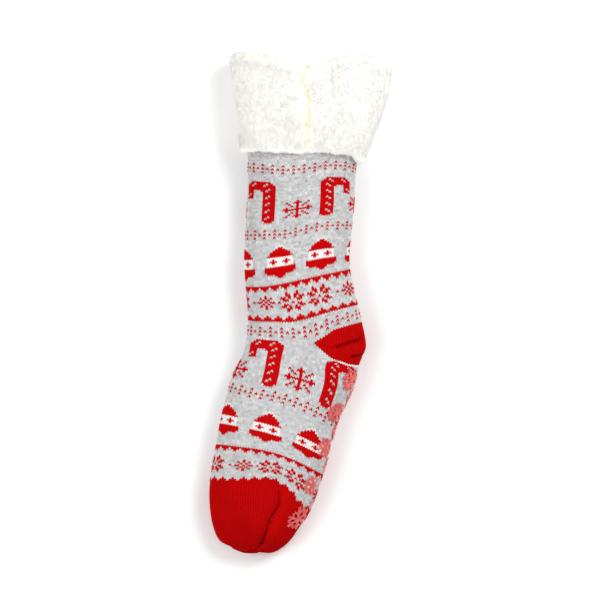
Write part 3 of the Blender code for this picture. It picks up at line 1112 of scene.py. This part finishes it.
def knit_piece(name, parts, seed):
    """One piece of knitting from groups of (place, courses, wales, codes)."""
    points = []
    colours = []
    for index, (place, courses, wales, codes) in enumerate(parts):
        laid = lay_stitches(place, courses, wales, (codes == "R") | (codes == "W"))
        facing = skin.facing(*place(courses + 0.5, wales + 0.5))
        # Painted shade along the top side's creases, multiplied into the stitches' colours
        light = painted_crease_shade(laid, (facing[:, 2] > 0)[:, None]).reshape(-1, 1)
        points.append(laid.reshape(-1, 3))
        colours.append(np.clip(stitch_colours(codes, courses, wales, seed + index) * light, 0, 1))
    points = np.concatenate(points)
    faces = stitch_faces(len(points) // len(STITCH_POINTS))
    piece = mesh_piece(name, points, faces, knit_material(), np.concatenate(colours))
    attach(piece, "root")
    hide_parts("knit_sock")


def cells(first, last, wales):
    """Every whole course and wale in a range, as two lists."""
    courses, across = np.meshgrid(np.arange(first, last), wales, indexing="ij")
    return courses.ravel().astype(float), across.ravel().astype(float)


def node_setup(name):
    """A material with its nodes and its shader, or with neither where it is made already."""
    material = bpy.data.materials.get(name)
    if material:
        return material, None, None
    material = bpy.data.materials.new(name)
    material.use_nodes = True
    nodes = material.node_tree.nodes
    return material, nodes, nodes["Principled BSDF"]


def add_noise(nodes, links, scale, detail):
    """A noise texture in the object's own metres."""
    place = nodes.new("ShaderNodeTexCoord")
    texture = nodes.new("ShaderNodeTexNoise")
    texture.inputs["Scale"].default_value = scale
    texture.inputs["Detail"].default_value = detail
    links.new(place.outputs["Object"], texture.inputs["Vector"])
    return texture


def add_bump(nodes, links, height, strength, distance, shader):
    """A bump from a height into a shader."""
    bump = nodes.new("ShaderNodeBump")
    bump.inputs["Strength"].default_value = strength
    bump.inputs["Distance"].default_value = distance
    links.new(height, bump.inputs["Height"])
    links.new(bump.outputs["Normal"], shader.inputs["Normal"])


def add_ramp(nodes, links, value, stops):
    """A colour ramp from pairs of place and grey or colour."""
    ramp = nodes.new("ShaderNodeValToRGB")
    elements = ramp.color_ramp.elements
    while len(elements) < len(stops):
        elements.new(0.5)
    for element, (place, colour) in zip(elements, stops):
        element.position = place
        element.color = (*colour, 1.0)
    links.new(value, ramp.inputs["Fac"])
    return ramp


def times_tint_and_painted_shade(nodes, links, factor_colour):
    """The piece's own colours with their painted shade, multiplied by a colour output."""
    tint_and_painted_shade = nodes.new("ShaderNodeAttribute")
    tint_and_painted_shade.attribute_name = "tint_and_painted_shade"
    mix = nodes.new("ShaderNodeMix")
    mix.data_type = "RGBA"
    mix.blend_type = "MULTIPLY"
    mix.inputs["Factor"].default_value = 1.0
    links.new(tint_and_painted_shade.outputs["Color"], mix.inputs["A"])
    links.new(factor_colour, mix.inputs["B"])
    return mix.outputs["Result"]


def knit_material():
    """Acrylic yarn: its stitches' own colours and painted shade, with fine fibres and a dry nap.
    """
    material, nodes, shader = node_setup("knitting yarn")
    if nodes is None:
        return material
    links = material.node_tree.links
    fibres = add_noise(nodes, links, 2600.0, 3.0)
    shade = add_ramp(nodes, links, fibres.outputs["Fac"], (
        (0.25, (0.86, 0.86, 0.86)), (0.75, (1.0, 1.0, 1.0))))
    links.new(times_tint_and_painted_shade(nodes, links, shade.outputs["Color"]), shader.inputs["Base Color"])
    add_bump(nodes, links, fibres.outputs["Fac"], 0.35, 0.0004, shader)
    shader.inputs["Roughness"].default_value = 0.92
    shader.inputs["Specular IOR Level"].default_value = 0.05
    return material


def fleece_material():
    """Sherpa pile: white curls, with cream painted shade where they part."""
    material, nodes, shader = node_setup("sherpa pile")
    if nodes is None:
        return material
    links = material.node_tree.links
    fibres = add_noise(nodes, links, 900.0, 3.0)
    shade = add_ramp(nodes, links, fibres.outputs["Fac"], (
        (0.30, (0.97, 0.967, 0.955)), (0.70, (1.0, 1.0, 1.0))))
    links.new(times_tint_and_painted_shade(nodes, links, shade.outputs["Color"]), shader.inputs["Base Color"])
    add_bump(nodes, links, fibres.outputs["Fac"], 0.12, 0.0006, shader)
    shader.inputs["Roughness"].default_value = 0.95
    shader.inputs["Specular IOR Level"].default_value = 0.05
    shader.inputs["Sheen Weight"].default_value = 0.06
    shader.inputs["Sheen Roughness"].default_value = 0.6
    shader.inputs["Subsurface Weight"].default_value = 0.3
    shader.inputs["Subsurface Radius"].default_value = (0.004, 0.0038, 0.0034)
    shader.inputs["Subsurface Scale"].default_value = 1.0
    return material


def grip_material():
    """Soft red rubber, deeper and paler in clouds, under a thin coat."""
    material, nodes, shader = node_setup("grip rubber")
    if nodes is None:
        return material
    links = material.node_tree.links
    cloud = add_noise(nodes, links, 260.0, 4.0)
    colour = bpy.context.scene.sock_knit.grip
    pale = tuple(min(channel * 1.25 + 0.03, 1.0) for channel in colour)
    deep = tuple(channel * 0.80 for channel in colour)
    shade = add_ramp(nodes, links, cloud.outputs["Fac"], (
        (0.36, deep), (0.52, tuple(colour)), (0.68, pale)))
    links.new(shade.outputs["Color"], shader.inputs["Base Color"])
    grain = add_noise(nodes, links, 900.0, 2.0)
    add_bump(nodes, links, grain.outputs["Fac"], 0.3, 0.0004, shader)
    shader.inputs["Roughness"].default_value = 0.38
    shader.inputs["Coat Weight"].default_value = 0.35
    shader.inputs["Coat Roughness"].default_value = 0.22
    shader.inputs["Subsurface Weight"].default_value = 0.15
    shader.inputs["Subsurface Radius"].default_value = (0.002, 0.0008, 0.0006)
    return material


def floor_material():
    """Matt studio paper."""
    material, nodes, shader = node_setup("studio paper")
    if nodes is None:
        return material
    links = material.node_tree.links
    grain = add_noise(nodes, links, 40.0, 3.0)
    colour = tuple(bpy.context.scene.sock_stage.paper)
    dimmer = tuple(channel * 0.99 for channel in colour)
    shade = add_ramp(nodes, links, grain.outputs["Fac"], ((0.3, dimmer), (0.7, colour)))
    links.new(shade.outputs["Color"], shader.inputs["Base Color"])
    shader.inputs["Roughness"].default_value = 0.9
    shader.inputs["Specular IOR Level"].default_value = 0.1
    return material


class SOCK_PG_knit(bpy.types.PropertyGroup):
    """The knit's, the fleece's and the grips' sizes and colours."""

    yarn_height: bpy.props.FloatProperty(
        name="Yarn height",
        description="How far a stitch's legs stand out from the knit",
        default=0.00042,
        min=0.0,
        max=0.002,
        unit="LENGTH",
    )
    pile_height: bpy.props.FloatProperty(
        name="Pile height",
        description="How far the cuff's curls stand out and sink in",
        default=0.0007,
        min=0.0,
        max=0.004,
        unit="LENGTH",
    )
    lock_length: bpy.props.FloatProperty(
        name="Lock length",
        description="The length of the loose locks of the fleece",
        default=0.0042,
        min=0.0,
        max=0.02,
        unit="LENGTH",
    )
    grey: bpy.props.FloatVectorProperty(
        name="Ground yarn",
        description="The heather grey of the knit's ground",
        subtype="COLOR",
        default=(0.690, 0.690, 0.696),
        min=0.0,
        max=1.0,
    )
    red: bpy.props.FloatVectorProperty(
        name="Motif yarn",
        description="The red of the motifs",
        subtype="COLOR",
        default=(0.665, 0.0018, 0.0030),
        min=0.0,
        max=1.0,
    )
    plain_red: bpy.props.FloatVectorProperty(
        name="Heel and toe yarn",
        description="The deeper red of the heel and the toe",
        subtype="COLOR",
        default=(0.615, 0.0014, 0.0018),
        min=0.0,
        max=1.0,
    )
    white: bpy.props.FloatVectorProperty(
        name="White yarn",
        description="The white of the bells' bands",
        subtype="COLOR",
        default=(0.930, 0.922, 0.910),
        min=0.0,
        max=1.0,
    )
    fleece: bpy.props.FloatVectorProperty(
        name="Fleece",
        description="The white of the pile's curls",
        subtype="COLOR",
        default=(0.945, 0.941, 0.922),
        min=0.0,
        max=1.0,
    )
    # Cream, mixed in at random on the locks and as painted shade where the pile parts, along its
    # seam, in its creases, under its locks and in the lining
    fleece_cream_and_painted_shade: bpy.props.FloatVectorProperty(
        name="Fleece depth",
        description="The cream that shows where the pile parts",
        subtype="COLOR",
        default=(0.860, 0.770, 0.580),
        min=0.0,
        max=1.0,
    )
    grip: bpy.props.FloatVectorProperty(
        name="Grip rubber",
        description="The red of the sole's grips",
        subtype="COLOR",
        default=(0.700, 0.085, 0.075),
        min=0.0,
        max=1.0,
    )


class SOCK_PG_stage(bpy.types.PropertyGroup):
    """The floor, the lights and the camera."""

    paper: bpy.props.FloatVectorProperty(
        name="Paper",
        description="The floor's colour",
        subtype="COLOR",
        default=(0.98, 0.98, 0.98),
        min=0.0,
        max=1.0,
    )
    key_power: bpy.props.FloatProperty(
        name="Key light",
        description="The power of the large light above the collar's right",
        default=16.8,
        min=0.0,
        unit="POWER",
    )
    fill_power: bpy.props.FloatProperty(
        name="Fill light",
        description="The power of the light on the other side",
        default=8.8,
        min=0.0,
        unit="POWER",
    )
    room_light: bpy.props.FloatProperty(
        name="Room light",
        description="How bright the white room is",
        default=0.54,
        min=0.0,
    )
    camera_height: bpy.props.FloatProperty(
        name="Camera height",
        description="How far the camera is above the floor",
        default=7.0,
        min=0.5,
        unit="LENGTH",
    )
    view_width: bpy.props.FloatProperty(
        name="View width",
        description="The width of floor that the camera sees",
        default=0.516,
        min=0.1,
        unit="LENGTH",
    )


class SOCK_OT_leg(bpy.types.Operator):
    """Knit the leg, stitch by stitch, from under the cuff to the heel."""

    bl_idname = "sock.knit_leg"
    bl_label = "Knit Leg"

    def execute(self, context):
        courses, wales = cells(LEG_START, LEG_END, np.arange(WALES))
        chart = leg_chart()
        codes = chart[courses.astype(int) - LEG_START, wales.astype(int)]
        knit_piece("knit_leg", [(leg_place, courses, wales, codes)], 11)
        return {"FINISHED"}


class SOCK_OT_foot(bpy.types.Operator):
    """Knit the foot from the heel and instep to the toe."""

    bl_idname = "sock.knit_foot"
    bl_label = "Knit Foot"

    def execute(self, context):
        courses, wales = cells(0, FOOT_END, np.arange(WALES))
        chart = foot_chart()
        codes = chart[courses.astype(int), wales.astype(int)]
        knit_piece("knit_foot", [(foot_place, courses, wales, codes)], 23)
        return {"FINISHED"}


class SOCK_OT_heel(bpy.types.Operator):
    """Knit the heel's cup in two halves that meet on its gore line."""

    bl_idname = "sock.knit_heel"
    bl_label = "Knit Heel"

    def execute(self, context):
        reach = int(GORE_SHARE * WALES)
        under = int(reach * (1 - FRONT_SHARE) / FRONT_SHARE)
        across = np.arange(-under, reach)
        upper_row, lower_row = heel_rows()

        def upper_place(course, wale):
            share = np.asarray(wale) / WALES
            return upper_row(course, share), share

        def lower_place(course, wale):
            share = np.asarray(wale) / WALES
            return lower_row(HEEL_COURSES - course, share), share

        parts = []
        for place, above in ((upper_place, True), (lower_place, False)):
            courses, wales = cells(0, HEEL_COURSES, across)
            row, share = place(courses + 0.5, wales + 0.5)
            keep = (row < gore_row(share)) == above
            parts.append((place, courses[keep], wales[keep], np.full(keep.sum(), "P")))
        knit_piece("knit_heel", parts, 37)
        return {"FINISHED"}


class SOCK_OT_toe(bpy.types.Operator):
    """Knit the toe, whose instep and sole meet on its gore line."""

    bl_idname = "sock.knit_toe"
    bl_label = "Knit Toe"

    def execute(self, context):
        line = np.array(TOE_LINE)
        parts = []
        for start, instep in ((FRONT_SHARE, True), (0.0, False)):
            place = toe_place(start)
            courses, wales = cells(0, TOE_END, np.arange(-TOE_WALES, TOE_WALES))
            row, share = place(courses + 0.5, wales + 0.5)
            border = np.interp(row, line[:, 0], line[:, 1])
            within = np.abs(wales + 0.5) * TOE_WALE < skin.round_length(row) * 0.5
            side = mirrored_share(share)
            keep = within & ((side >= border - TOE_OVERLAP) if instep else (side < border))
            parts.append((place, courses[keep], wales[keep], np.full(keep.sum(), "P")))
        knit_piece("knit_toe", parts, 41)
        return {"FINISHED"}


def grid_faces(rows, columns):
    """Quads of a grid of points, closed round its columns."""
    row, column = np.meshgrid(np.arange(rows - 1), np.arange(columns), indexing="ij")
    after = (column + 1) % columns
    faces = np.stack([
        row * columns + column, (row + 1) * columns + column,
        (row + 1) * columns + after, row * columns + after], axis=-1)
    return faces.reshape(-1, 4)


class SOCK_OT_backing(bpy.types.Operator):
    """Lay the floats' sheet, in painted shade, just under the stitches so no gap shows through."""

    bl_idname = "sock.knit_backing"
    bl_label = "Lay Backing"

    def execute(self, context):
        knit = context.scene.sock_knit
        rows = np.linspace(BACKING_START, LAST_ROW + CAP_ROWS - BACKING_END_ROWS, BACKING_ROWS)
        row, share = grid_places(rows, BACKING_COLUMNS)
        points = skin.at(row, share, np.full(row.shape, -BACKING_DEPTH))
        heel = (row > leg_row(LEG_END, share)) & (row < foot_row(0, share))
        heel &= mirrored_share(share) < GORE_SHARE
        toe = row > toe_row(0, share)
        red = (heel | toe)[..., None]
        colours = np.where(red, np.array(tuple(knit.plain_red)), np.array(tuple(knit.grey)))
        # Painted shade: the sheet is darker than its yarn, as the gaps between stitches are
        colours = colours * BACKING_PAINTED_SHADE
        faces = grid_faces(*row.shape)
        piece = mesh_piece("knit_backing", points.reshape(-1, 3), faces, knit_material(),
                           colours.reshape(-1, 3))
        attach(piece, "root")
        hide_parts("knit_sock")
        return {"FINISHED"}


def pile_noise(points, scale, seed):
    """Smooth noise between -1 and 1 at each point."""
    offset = Vector((seed * 3.1, seed * 1.7, seed * 0.9))
    return np.array([noise.noise(Vector(point) * scale + offset) for point in points])


def curl_noise(points, scale, seed):
    """Rounded clumps: high in the middle of a cell, low between cells."""
    offset = Vector((seed * 2.3, seed * 1.1, seed * 0.7))
    values = np.empty(len(points))
    for index, point in enumerate(points):
        distances = noise.voronoi(Vector(point) * scale + offset)[0]
        values[index] = distances[1] - distances[0]
    return values


def seam_trough(points, normals):
    """How far the pile is drawn in at the cuff's seams, as the solid is."""
    distance, _ = polyline_distance(points[:, :2], CUFF_SEAM)
    trough = np.where(normals[:, 2] > 0, SEAM_DEPTH, UNDER_SEAM_DEPTH)
    return trough * np.exp(-((distance / SEAM_HALF_WIDTH) ** 2)), distance


class SOCK_OT_cuff(bpy.types.Operator):
    """Fold the fleece over the collar's edge as a soft, curly cuff."""

    bl_idname = "sock.fleece_cuff"
    bl_label = "Fold Cuff"

    def execute(self, context):
        rows, shares, out, lift = cuff_path()
        points, facing = cuff_surface(rows, shares, out, lift)
        flat = points.reshape(-1, 3)
        normals = facing.reshape(-1, 3)
        height = context.scene.sock_knit.pile_height
        relief, depth = pile_relief(flat, normals)
        moved = flat + normals * (relief * height)[:, None]
        faces = grid_faces(*rows.shape)
        # The pile's base gets painted shade under the locks on top of the pile's own
        colours = pile_colours(depth + UNDER_LOCKS_PAINTED_SHADE)
        piece = mesh_piece("fleece_cuff_pile", moved, faces, fleece_material(), colours)
        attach(piece, "root")
        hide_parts("fleece_cuff")
        return {"FINISHED"}


def cuff_path():
    """The way round the cuff's section from its hem's inside, out, up, over and down inside."""
    shares = np.arange(CUFF_COLUMNS) / CUFF_COLUMNS
    innermost = -(KNIT_WALL + CLEARANCE) - LINING_FLEECE
    middle = (CLEARANCE + CUFF_FLEECE + innermost) / 2
    radius = (CLEARANCE + CUFF_FLEECE - innermost) / 2
    hem_start = HEM_ROW - HEM_ROUND_ROWS
    path = []
    for step in range(HEM_STEPS):
        turn = math.pi * (step / HEM_STEPS)
        out = CLEARANCE + CUFF_FLEECE / 2 - CUFF_FLEECE / 2 * math.cos(turn)
        path.append((hem_start + HEM_ROUND_ROWS * math.sin(turn), out, 0.0))
    for row in np.linspace(hem_start, 0.0, OUTSIDE_STEPS):
        path.append((row, CLEARANCE + CUFF_FLEECE, 0.0))
    for step in range(1, ROLL_STEPS):
        turn = math.pi * step / ROLL_STEPS
        path.append((0.0, middle + radius * math.cos(turn), radius * math.sin(turn)))
    for row in np.linspace(0.0, HEM_ROW, INSIDE_STEPS):
        path.append((row, innermost, 0.0))
    rows, out, lift = np.array(path).T[:, :, None] + 0 * shares
    round_turn = 2 * math.pi * shares
    wave = HEM_WAVE * (np.sin(9 * round_turn) + 0.6 * np.sin(23 * round_turn + 1))
    wander = np.clip(rows - (HEM_ROW - HEM_WANDER_ROWS), 0, HEM_WANDER_ROWS) / HEM_WANDER_ROWS
    rows = rows + wander * (wave + hem_offset(shares))
    return rows, shares + 0 * rows, out, lift


def drawn_in(out, trough):
    """How far the pile outside the knit stands from it where the seam draws it in."""
    return np.where(out > CLEARANCE, np.maximum(out - trough, CLEARANCE), out)


def hem_offset(shares):
    """How far the hem sits from its row."""
    stops, offsets = np.array(HEM_LINE).T
    return np.interp(mirrored_share(shares), stops, offsets)


def collar_up(shares):
    """Which way the knit points at the collar's edge."""
    edge = 0 * shares
    return normalise(skin.at(edge, shares) - skin.at(edge + COLLAR_EDGE_ROWS, shares))


def cuff_surface(rows, shares, out, lift):
    """The cuff's points and outward directions before its pile."""
    base = skin.at(rows, shares)
    facing = skin.facing(rows, shares)
    up = collar_up(shares)
    trough, _ = seam_trough(base.reshape(-1, 3), facing.reshape(-1, 3))
    out = drawn_in(out, trough.reshape(out.shape))
    points = base + facing * out[..., None] + up * lift[..., None]
    across = np.roll(points, -1, axis=1) - np.roll(points, 1, axis=1)
    along = np.gradient(points, axis=0)
    return points, -normalise(np.cross(across, along))


def pile_relief(points, normals):
    """How far the pile stands out, in pile heights, and its cream painted shade, at each point."""
    wander = np.stack([pile_noise(points, WANDER_SCALE, seed) for seed in (7, 8, 9)], axis=1)
    wandered = points + wander * WANDER_REACH
    clumps = curl_noise(wandered, CLUMP_SCALE, 1)
    curls = curl_noise(wandered, CURL_SCALE, 2)
    relief = CLUMP_RELIEF * smoothstep(clumps * RELIEF_STEEPNESS) - PILE_SINK
    relief = relief + CURL_RELIEF * smoothstep(curls * RELIEF_STEEPNESS)
    relief = relief + SWELL_RELIEF * pile_noise(points, SWELL_SCALE, 3)
    # Cream painted shade in the partings between the clumps and the curls
    depth = np.clip(CLUMP_PARTING - clumps, 0, 1) * CLUMP_PAINTED_SHADE
    depth = depth + np.clip(CURL_PARTING - curls, 0, 1) * CURL_PAINTED_SHADE
    distance, _ = polyline_distance(points[:, :2], CUFF_SEAM)
    top = smoothstep(normals[:, 2] * 2)
    wobble = 1 + SEAM_WOBBLE * pile_noise(points, SEAM_WOBBLE_SCALE, 4)
    seam = np.exp(-((distance / (SEAM_LINE_WIDTH * wobble)) ** 2)) * top
    tint_and_painted_shade = np.exp(-((distance / SEAM_TINT_WIDTH) ** 2)) * top
    patches = pile_noise(points, SEAM_PATCH_SCALE, 5)
    strength = 1 - SEAM_PATCHES + SEAM_PATCHES * patches
    # The seam's trough, with cream painted shade along it
    relief = relief - SEAM_RELIEF * seam
    depth = depth + (SEAM_LINE_PAINTED_SHADE * seam + SEAM_SOFT_PAINTED_SHADE * tint_and_painted_shade) * strength
    for line in PILE_CREASES:
        distance, along = polyline_distance(points[:, :2], line)
        crease = np.exp(-((distance / PILE_CREASE_REACH) ** 2)) * top
        crease = crease * (1 - PILE_CREASE_FADE * along)
        # Each crease sinks the pile and gets cream painted shade along it
        relief = relief - PILE_CREASE_RELIEF * crease
        depth = depth + PILE_CREASE_PAINTED_SHADE * crease
    return relief, depth


def pile_colours(depth):
    """White, mixed with cream: at random on the locks, and as painted shade where the pile parts.
    """
    knit = bpy.context.scene.sock_knit
    mix = np.clip(depth, 0, 1)[:, None]
    return np.array(tuple(knit.fleece)) * (1 - mix) + np.array(tuple(knit.fleece_cream_and_painted_shade)) * mix


class SOCK_OT_locks(bpy.types.Operator):
    """Scatter loose, curling locks of wool over the cuff."""

    bl_idname = "sock.fleece_locks"
    bl_label = "Scatter Locks"

    def execute(self, context):
        knit = context.scene.sock_knit
        random = np.random.default_rng(77)
        count = LOCK_COUNT
        rows = random.uniform(-ROLL_ROWS, HEM_ROW - HEM_MARGIN_ROWS, count)
        shares = random.uniform(0, 1, count)
        turn = np.clip(-rows / ROLL_ROWS, 0, 1) * ROLL_TURN
        rows = np.maximum(rows, 0.0)
        radius = (CLEARANCE * 2 + CUFF_FLEECE + KNIT_WALL + LINING_FLEECE) / 2
        out = CLEARANCE + CUFF_FLEECE - radius + radius * np.cos(turn)
        lift = radius * np.sin(turn)
        base = skin.at(rows, shares)
        facing = skin.facing(rows, shares)
        up = collar_up(shares)
        trough, seam_distance = seam_trough(base, facing)
        out = drawn_in(out, trough)
        start = base + facing * out[:, None] + up * lift[:, None]
        outward = normalise(facing * np.cos(turn)[:, None] + up * np.sin(turn)[:, None])
        side = normalise(np.cross(outward, up + 0.001))
        forward = normalise(np.cross(side, outward))
        heading = math.pi + LOCK_SWAY * pile_noise(base, LOCK_SWAY_SCALE, 11)
        heading = heading + random.normal(0, LOCK_SPREAD, count)
        seam_x, seam_y = np.array(CUFF_SEAM[::-1]).T
        away = np.sign(base[:, 0] - np.interp(base[:, 1], seam_y, seam_x))
        near = np.exp(-((seam_distance / SEAM_TURN_WIDTH) ** 2)) * (facing[:, 2] > 0)
        direction = side * np.sin(heading)[:, None] + forward * np.cos(heading)[:, None]
        sideways = np.stack([away, 0 * away - SEAM_TURN_DOWN, 0 * away], axis=1)
        kept = 1 - SEAM_TURN_SHARE * near
        direction = normalise(direction * kept[:, None] + sideways * near[:, None])
        lengths = knit.lock_length * random.uniform(*LOCK_LENGTHS, count)
        relief, depth = pile_relief(start, outward)
        start = start + outward * (relief * knit.pile_height)[:, None]
        points, faces = make_locks(start, direction, outward, lengths, random)
        # Each lock: a random cream of its own, plus painted shade from the pile where it starts
        lock_cream_and_shade = pile_colours(random.uniform(0.0, LOCK_TINT, count) + LOCK_PAINTED_SHADE_SHARE * depth)
        colours = np.repeat(lock_cream_and_shade, points.shape[1], axis=0)
        piece = mesh_piece("fleece_cuff_locks", points.reshape(-1, 3), faces, fleece_material(),
                           colours)
        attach(piece, "root")
        return {"FINISHED"}


def make_locks(start, direction, outward, lengths, random):
    """Fine, curling strands: their points, one row for each strand, and their faces."""
    count = len(start)
    curl = random.uniform(-LOCK_CURL, LOCK_CURL, count)
    rise = random.uniform(*LOCK_RISE, count)
    width = random.uniform(*LOCK_HALF_WIDTH, count)
    side = np.cross(outward, direction)
    points = []
    for index in range(LOCK_SECTIONS + 1):
        part = index / LOCK_SECTIONS
        angle = curl * part
        way = direction * np.cos(angle)[:, None] + side * np.sin(angle)[:, None]
        lifted = np.sin(part * math.pi) * rise * lengths - LOCK_SINK
        centre = start + way * (lengths * part)[:, None] + outward * lifted[:, None]
        if index == LOCK_SECTIONS:
            points.append(centre[:, None])
            continue
        across = np.cross(outward, way) * (width * (1.0 - LOCK_TAPER * part))[:, None]
        points.append(np.stack([centre - across, centre + across], axis=1))
    points = np.concatenate(points, axis=1)
    faces = []
    for index in range(LOCK_SECTIONS - 1):
        low, high = index * 2, index * 2 + 2
        faces.append((low, low + 1, high))
        faces.append((low + 1, high + 1, high))
    low, tip = (LOCK_SECTIONS - 1) * 2, LOCK_SECTIONS * 2
    faces.append((low, low + 1, tip))
    faces = np.array(faces)
    offsets = np.arange(count)[:, None, None] * points.shape[1]
    return points, (faces[None] + offsets).reshape(-1, 3)


class SOCK_OT_lining(bpy.types.Operator):
    """Line the leg and foot with short fleece below the turned-in collar."""

    bl_idname = "sock.fleece_lining"
    bl_label = "Line Sock"

    def execute(self, context):
        first, last = HEM_ROW - LINING_START_ROWS, LAST_ROW - LINING_END_ROWS
        row, share = grid_places(np.linspace(first, last, LINING_ROWS), LINING_COLUMNS)
        depth = KNIT_WALL + CLEARANCE * 2 + LINING_FLEECE / 2
        points = skin.at(row, share, np.full(row.shape, -depth)).reshape(-1, 3)
        facing = -skin.facing(row, share).reshape(-1, 3)
        clumps = curl_noise(points, LINING_SCALE, 6)
        points = points + facing * (np.sqrt(np.clip(clumps, 0, 1)) * LINING_PILE)[:, None]
        faces = grid_faces(*row.shape)[:, ::-1]
        # Cream painted shade where the lining's clumps part
        colours = pile_colours(np.clip(LINING_PARTING - clumps, 0, 1))
        piece = mesh_piece("fleece_lining", points, faces, fleece_material(), colours)
        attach(piece, "root")
        return {"FINISHED"}


class SOCK_OT_grips(bpy.types.Operator):
    """Give the sole's snowflake grips their rubber."""

    bl_idname = "sock.grips"
    bl_label = "Finish Grips"

    def execute(self, context):
        for name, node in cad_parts.items():
            if name.startswith("grip_"):
                node.data.materials.clear()
                node.data.materials.append(grip_material())
        return {"FINISHED"}


class SOCK_OT_stage(bpy.types.Operator):
    """Set the floor, the soft lights and the camera above the sock."""

    bl_idname = "sock.stage"
    bl_label = "Set Stage"

    def execute(self, context):
        stage = context.scene.sock_stage
        corners = ((-1, -1), (1, -1), (1, 1), (-1, 1))
        points = [(x * FLOOR_REACH, y * FLOOR_REACH, 0) for x, y in corners]
        data = bpy.data.meshes.new("floor")
        data.from_pydata(points, [], [(0, 1, 2, 3)])
        data.materials.append(floor_material())
        floor = bpy.data.objects.new("floor", data)
        context.scene.collection.objects.link(floor)
        add_light("key light", KEY_PLACE, KEY_SIZE, stage.key_power)
        add_light("fill light", FILL_PLACE, FILL_SIZE, stage.fill_power)
        world = bpy.data.worlds.new("white room")
        world.use_nodes = True
        background = world.node_tree.nodes["Background"]
        background.inputs["Color"].default_value = (1.0, 1.0, 1.0, 1.0)
        background.inputs["Strength"].default_value = stage.room_light
        context.scene.world = world
        lens = bpy.data.cameras.new("camera")
        lens.sensor_width = 36.0
        distance = stage.camera_height - FOLD_LEVEL
        lens.lens = lens.sensor_width * distance / stage.view_width
        lens.dof.use_dof = False
        lens.clip_end = 20.0
        camera = bpy.data.objects.new("camera", lens)
        camera.location = (0.0, CAMERA_AHEAD, stage.camera_height)
        context.scene.collection.objects.link(camera)
        context.scene.camera = camera
        context.scene.view_settings.view_transform = "Standard"
        return {"FINISHED"}


def add_light(name, place, size, power):
    """A square soft light that faces the sock."""
    data = bpy.data.lights.new(name, "AREA")
    data.size = size
    data.energy = power
    light = bpy.data.objects.new(name, data)
    light.location = place
    light.rotation_euler = (-Vector(place)).to_track_quat("-Z", "Y").to_euler()
    bpy.context.scene.collection.objects.link(light)


class SOCK_PT_panel(bpy.types.Panel):
    """The sock's pieces, in the order in which they are made."""

    bl_idname = "SOCK_PT_panel"
    bl_label = "Slipper Sock"
    bl_space_type = "VIEW_3D"
    bl_region_type = "UI"
    bl_category = "Slipper Sock"

    def draw(self, context):
        for group in (context.scene.sock_knit, context.scene.sock_stage):
            for name in group.__annotations__:
                self.layout.prop(group, name)
        for operator in OPERATORS:
            self.layout.operator(operator.bl_idname)


OPERATORS = (
    SOCK_OT_backing,
    SOCK_OT_leg,
    SOCK_OT_heel,
    SOCK_OT_foot,
    SOCK_OT_toe,
    SOCK_OT_cuff,
    SOCK_OT_locks,
    SOCK_OT_lining,
    SOCK_OT_grips,
    SOCK_OT_stage,
)
GROUPS = (SOCK_PG_knit, SOCK_PG_stage)


def register():
    """Registers the classes and the scene's settings."""
    for made in GROUPS + OPERATORS + (SOCK_PT_panel,):
        bpy.utils.register_class(made)
    bpy.types.Scene.sock_knit = bpy.props.PointerProperty(type=SOCK_PG_knit)
    bpy.types.Scene.sock_stage = bpy.props.PointerProperty(type=SOCK_PG_stage)


def unregister():
    """Removes them again."""
    del bpy.types.Scene.sock_knit
    del bpy.types.Scene.sock_stage
    for made in reversed(GROUPS + OPERATORS + (SOCK_PT_panel,)):
        bpy.utils.unregister_class(made)


def main():
    """Makes every piece."""
    register()
    for operator in OPERATORS:
        group, name = operator.bl_idname.split(".")
        getattr(getattr(bpy.ops, group), name)()


if __name__ == "__main__":
    main()
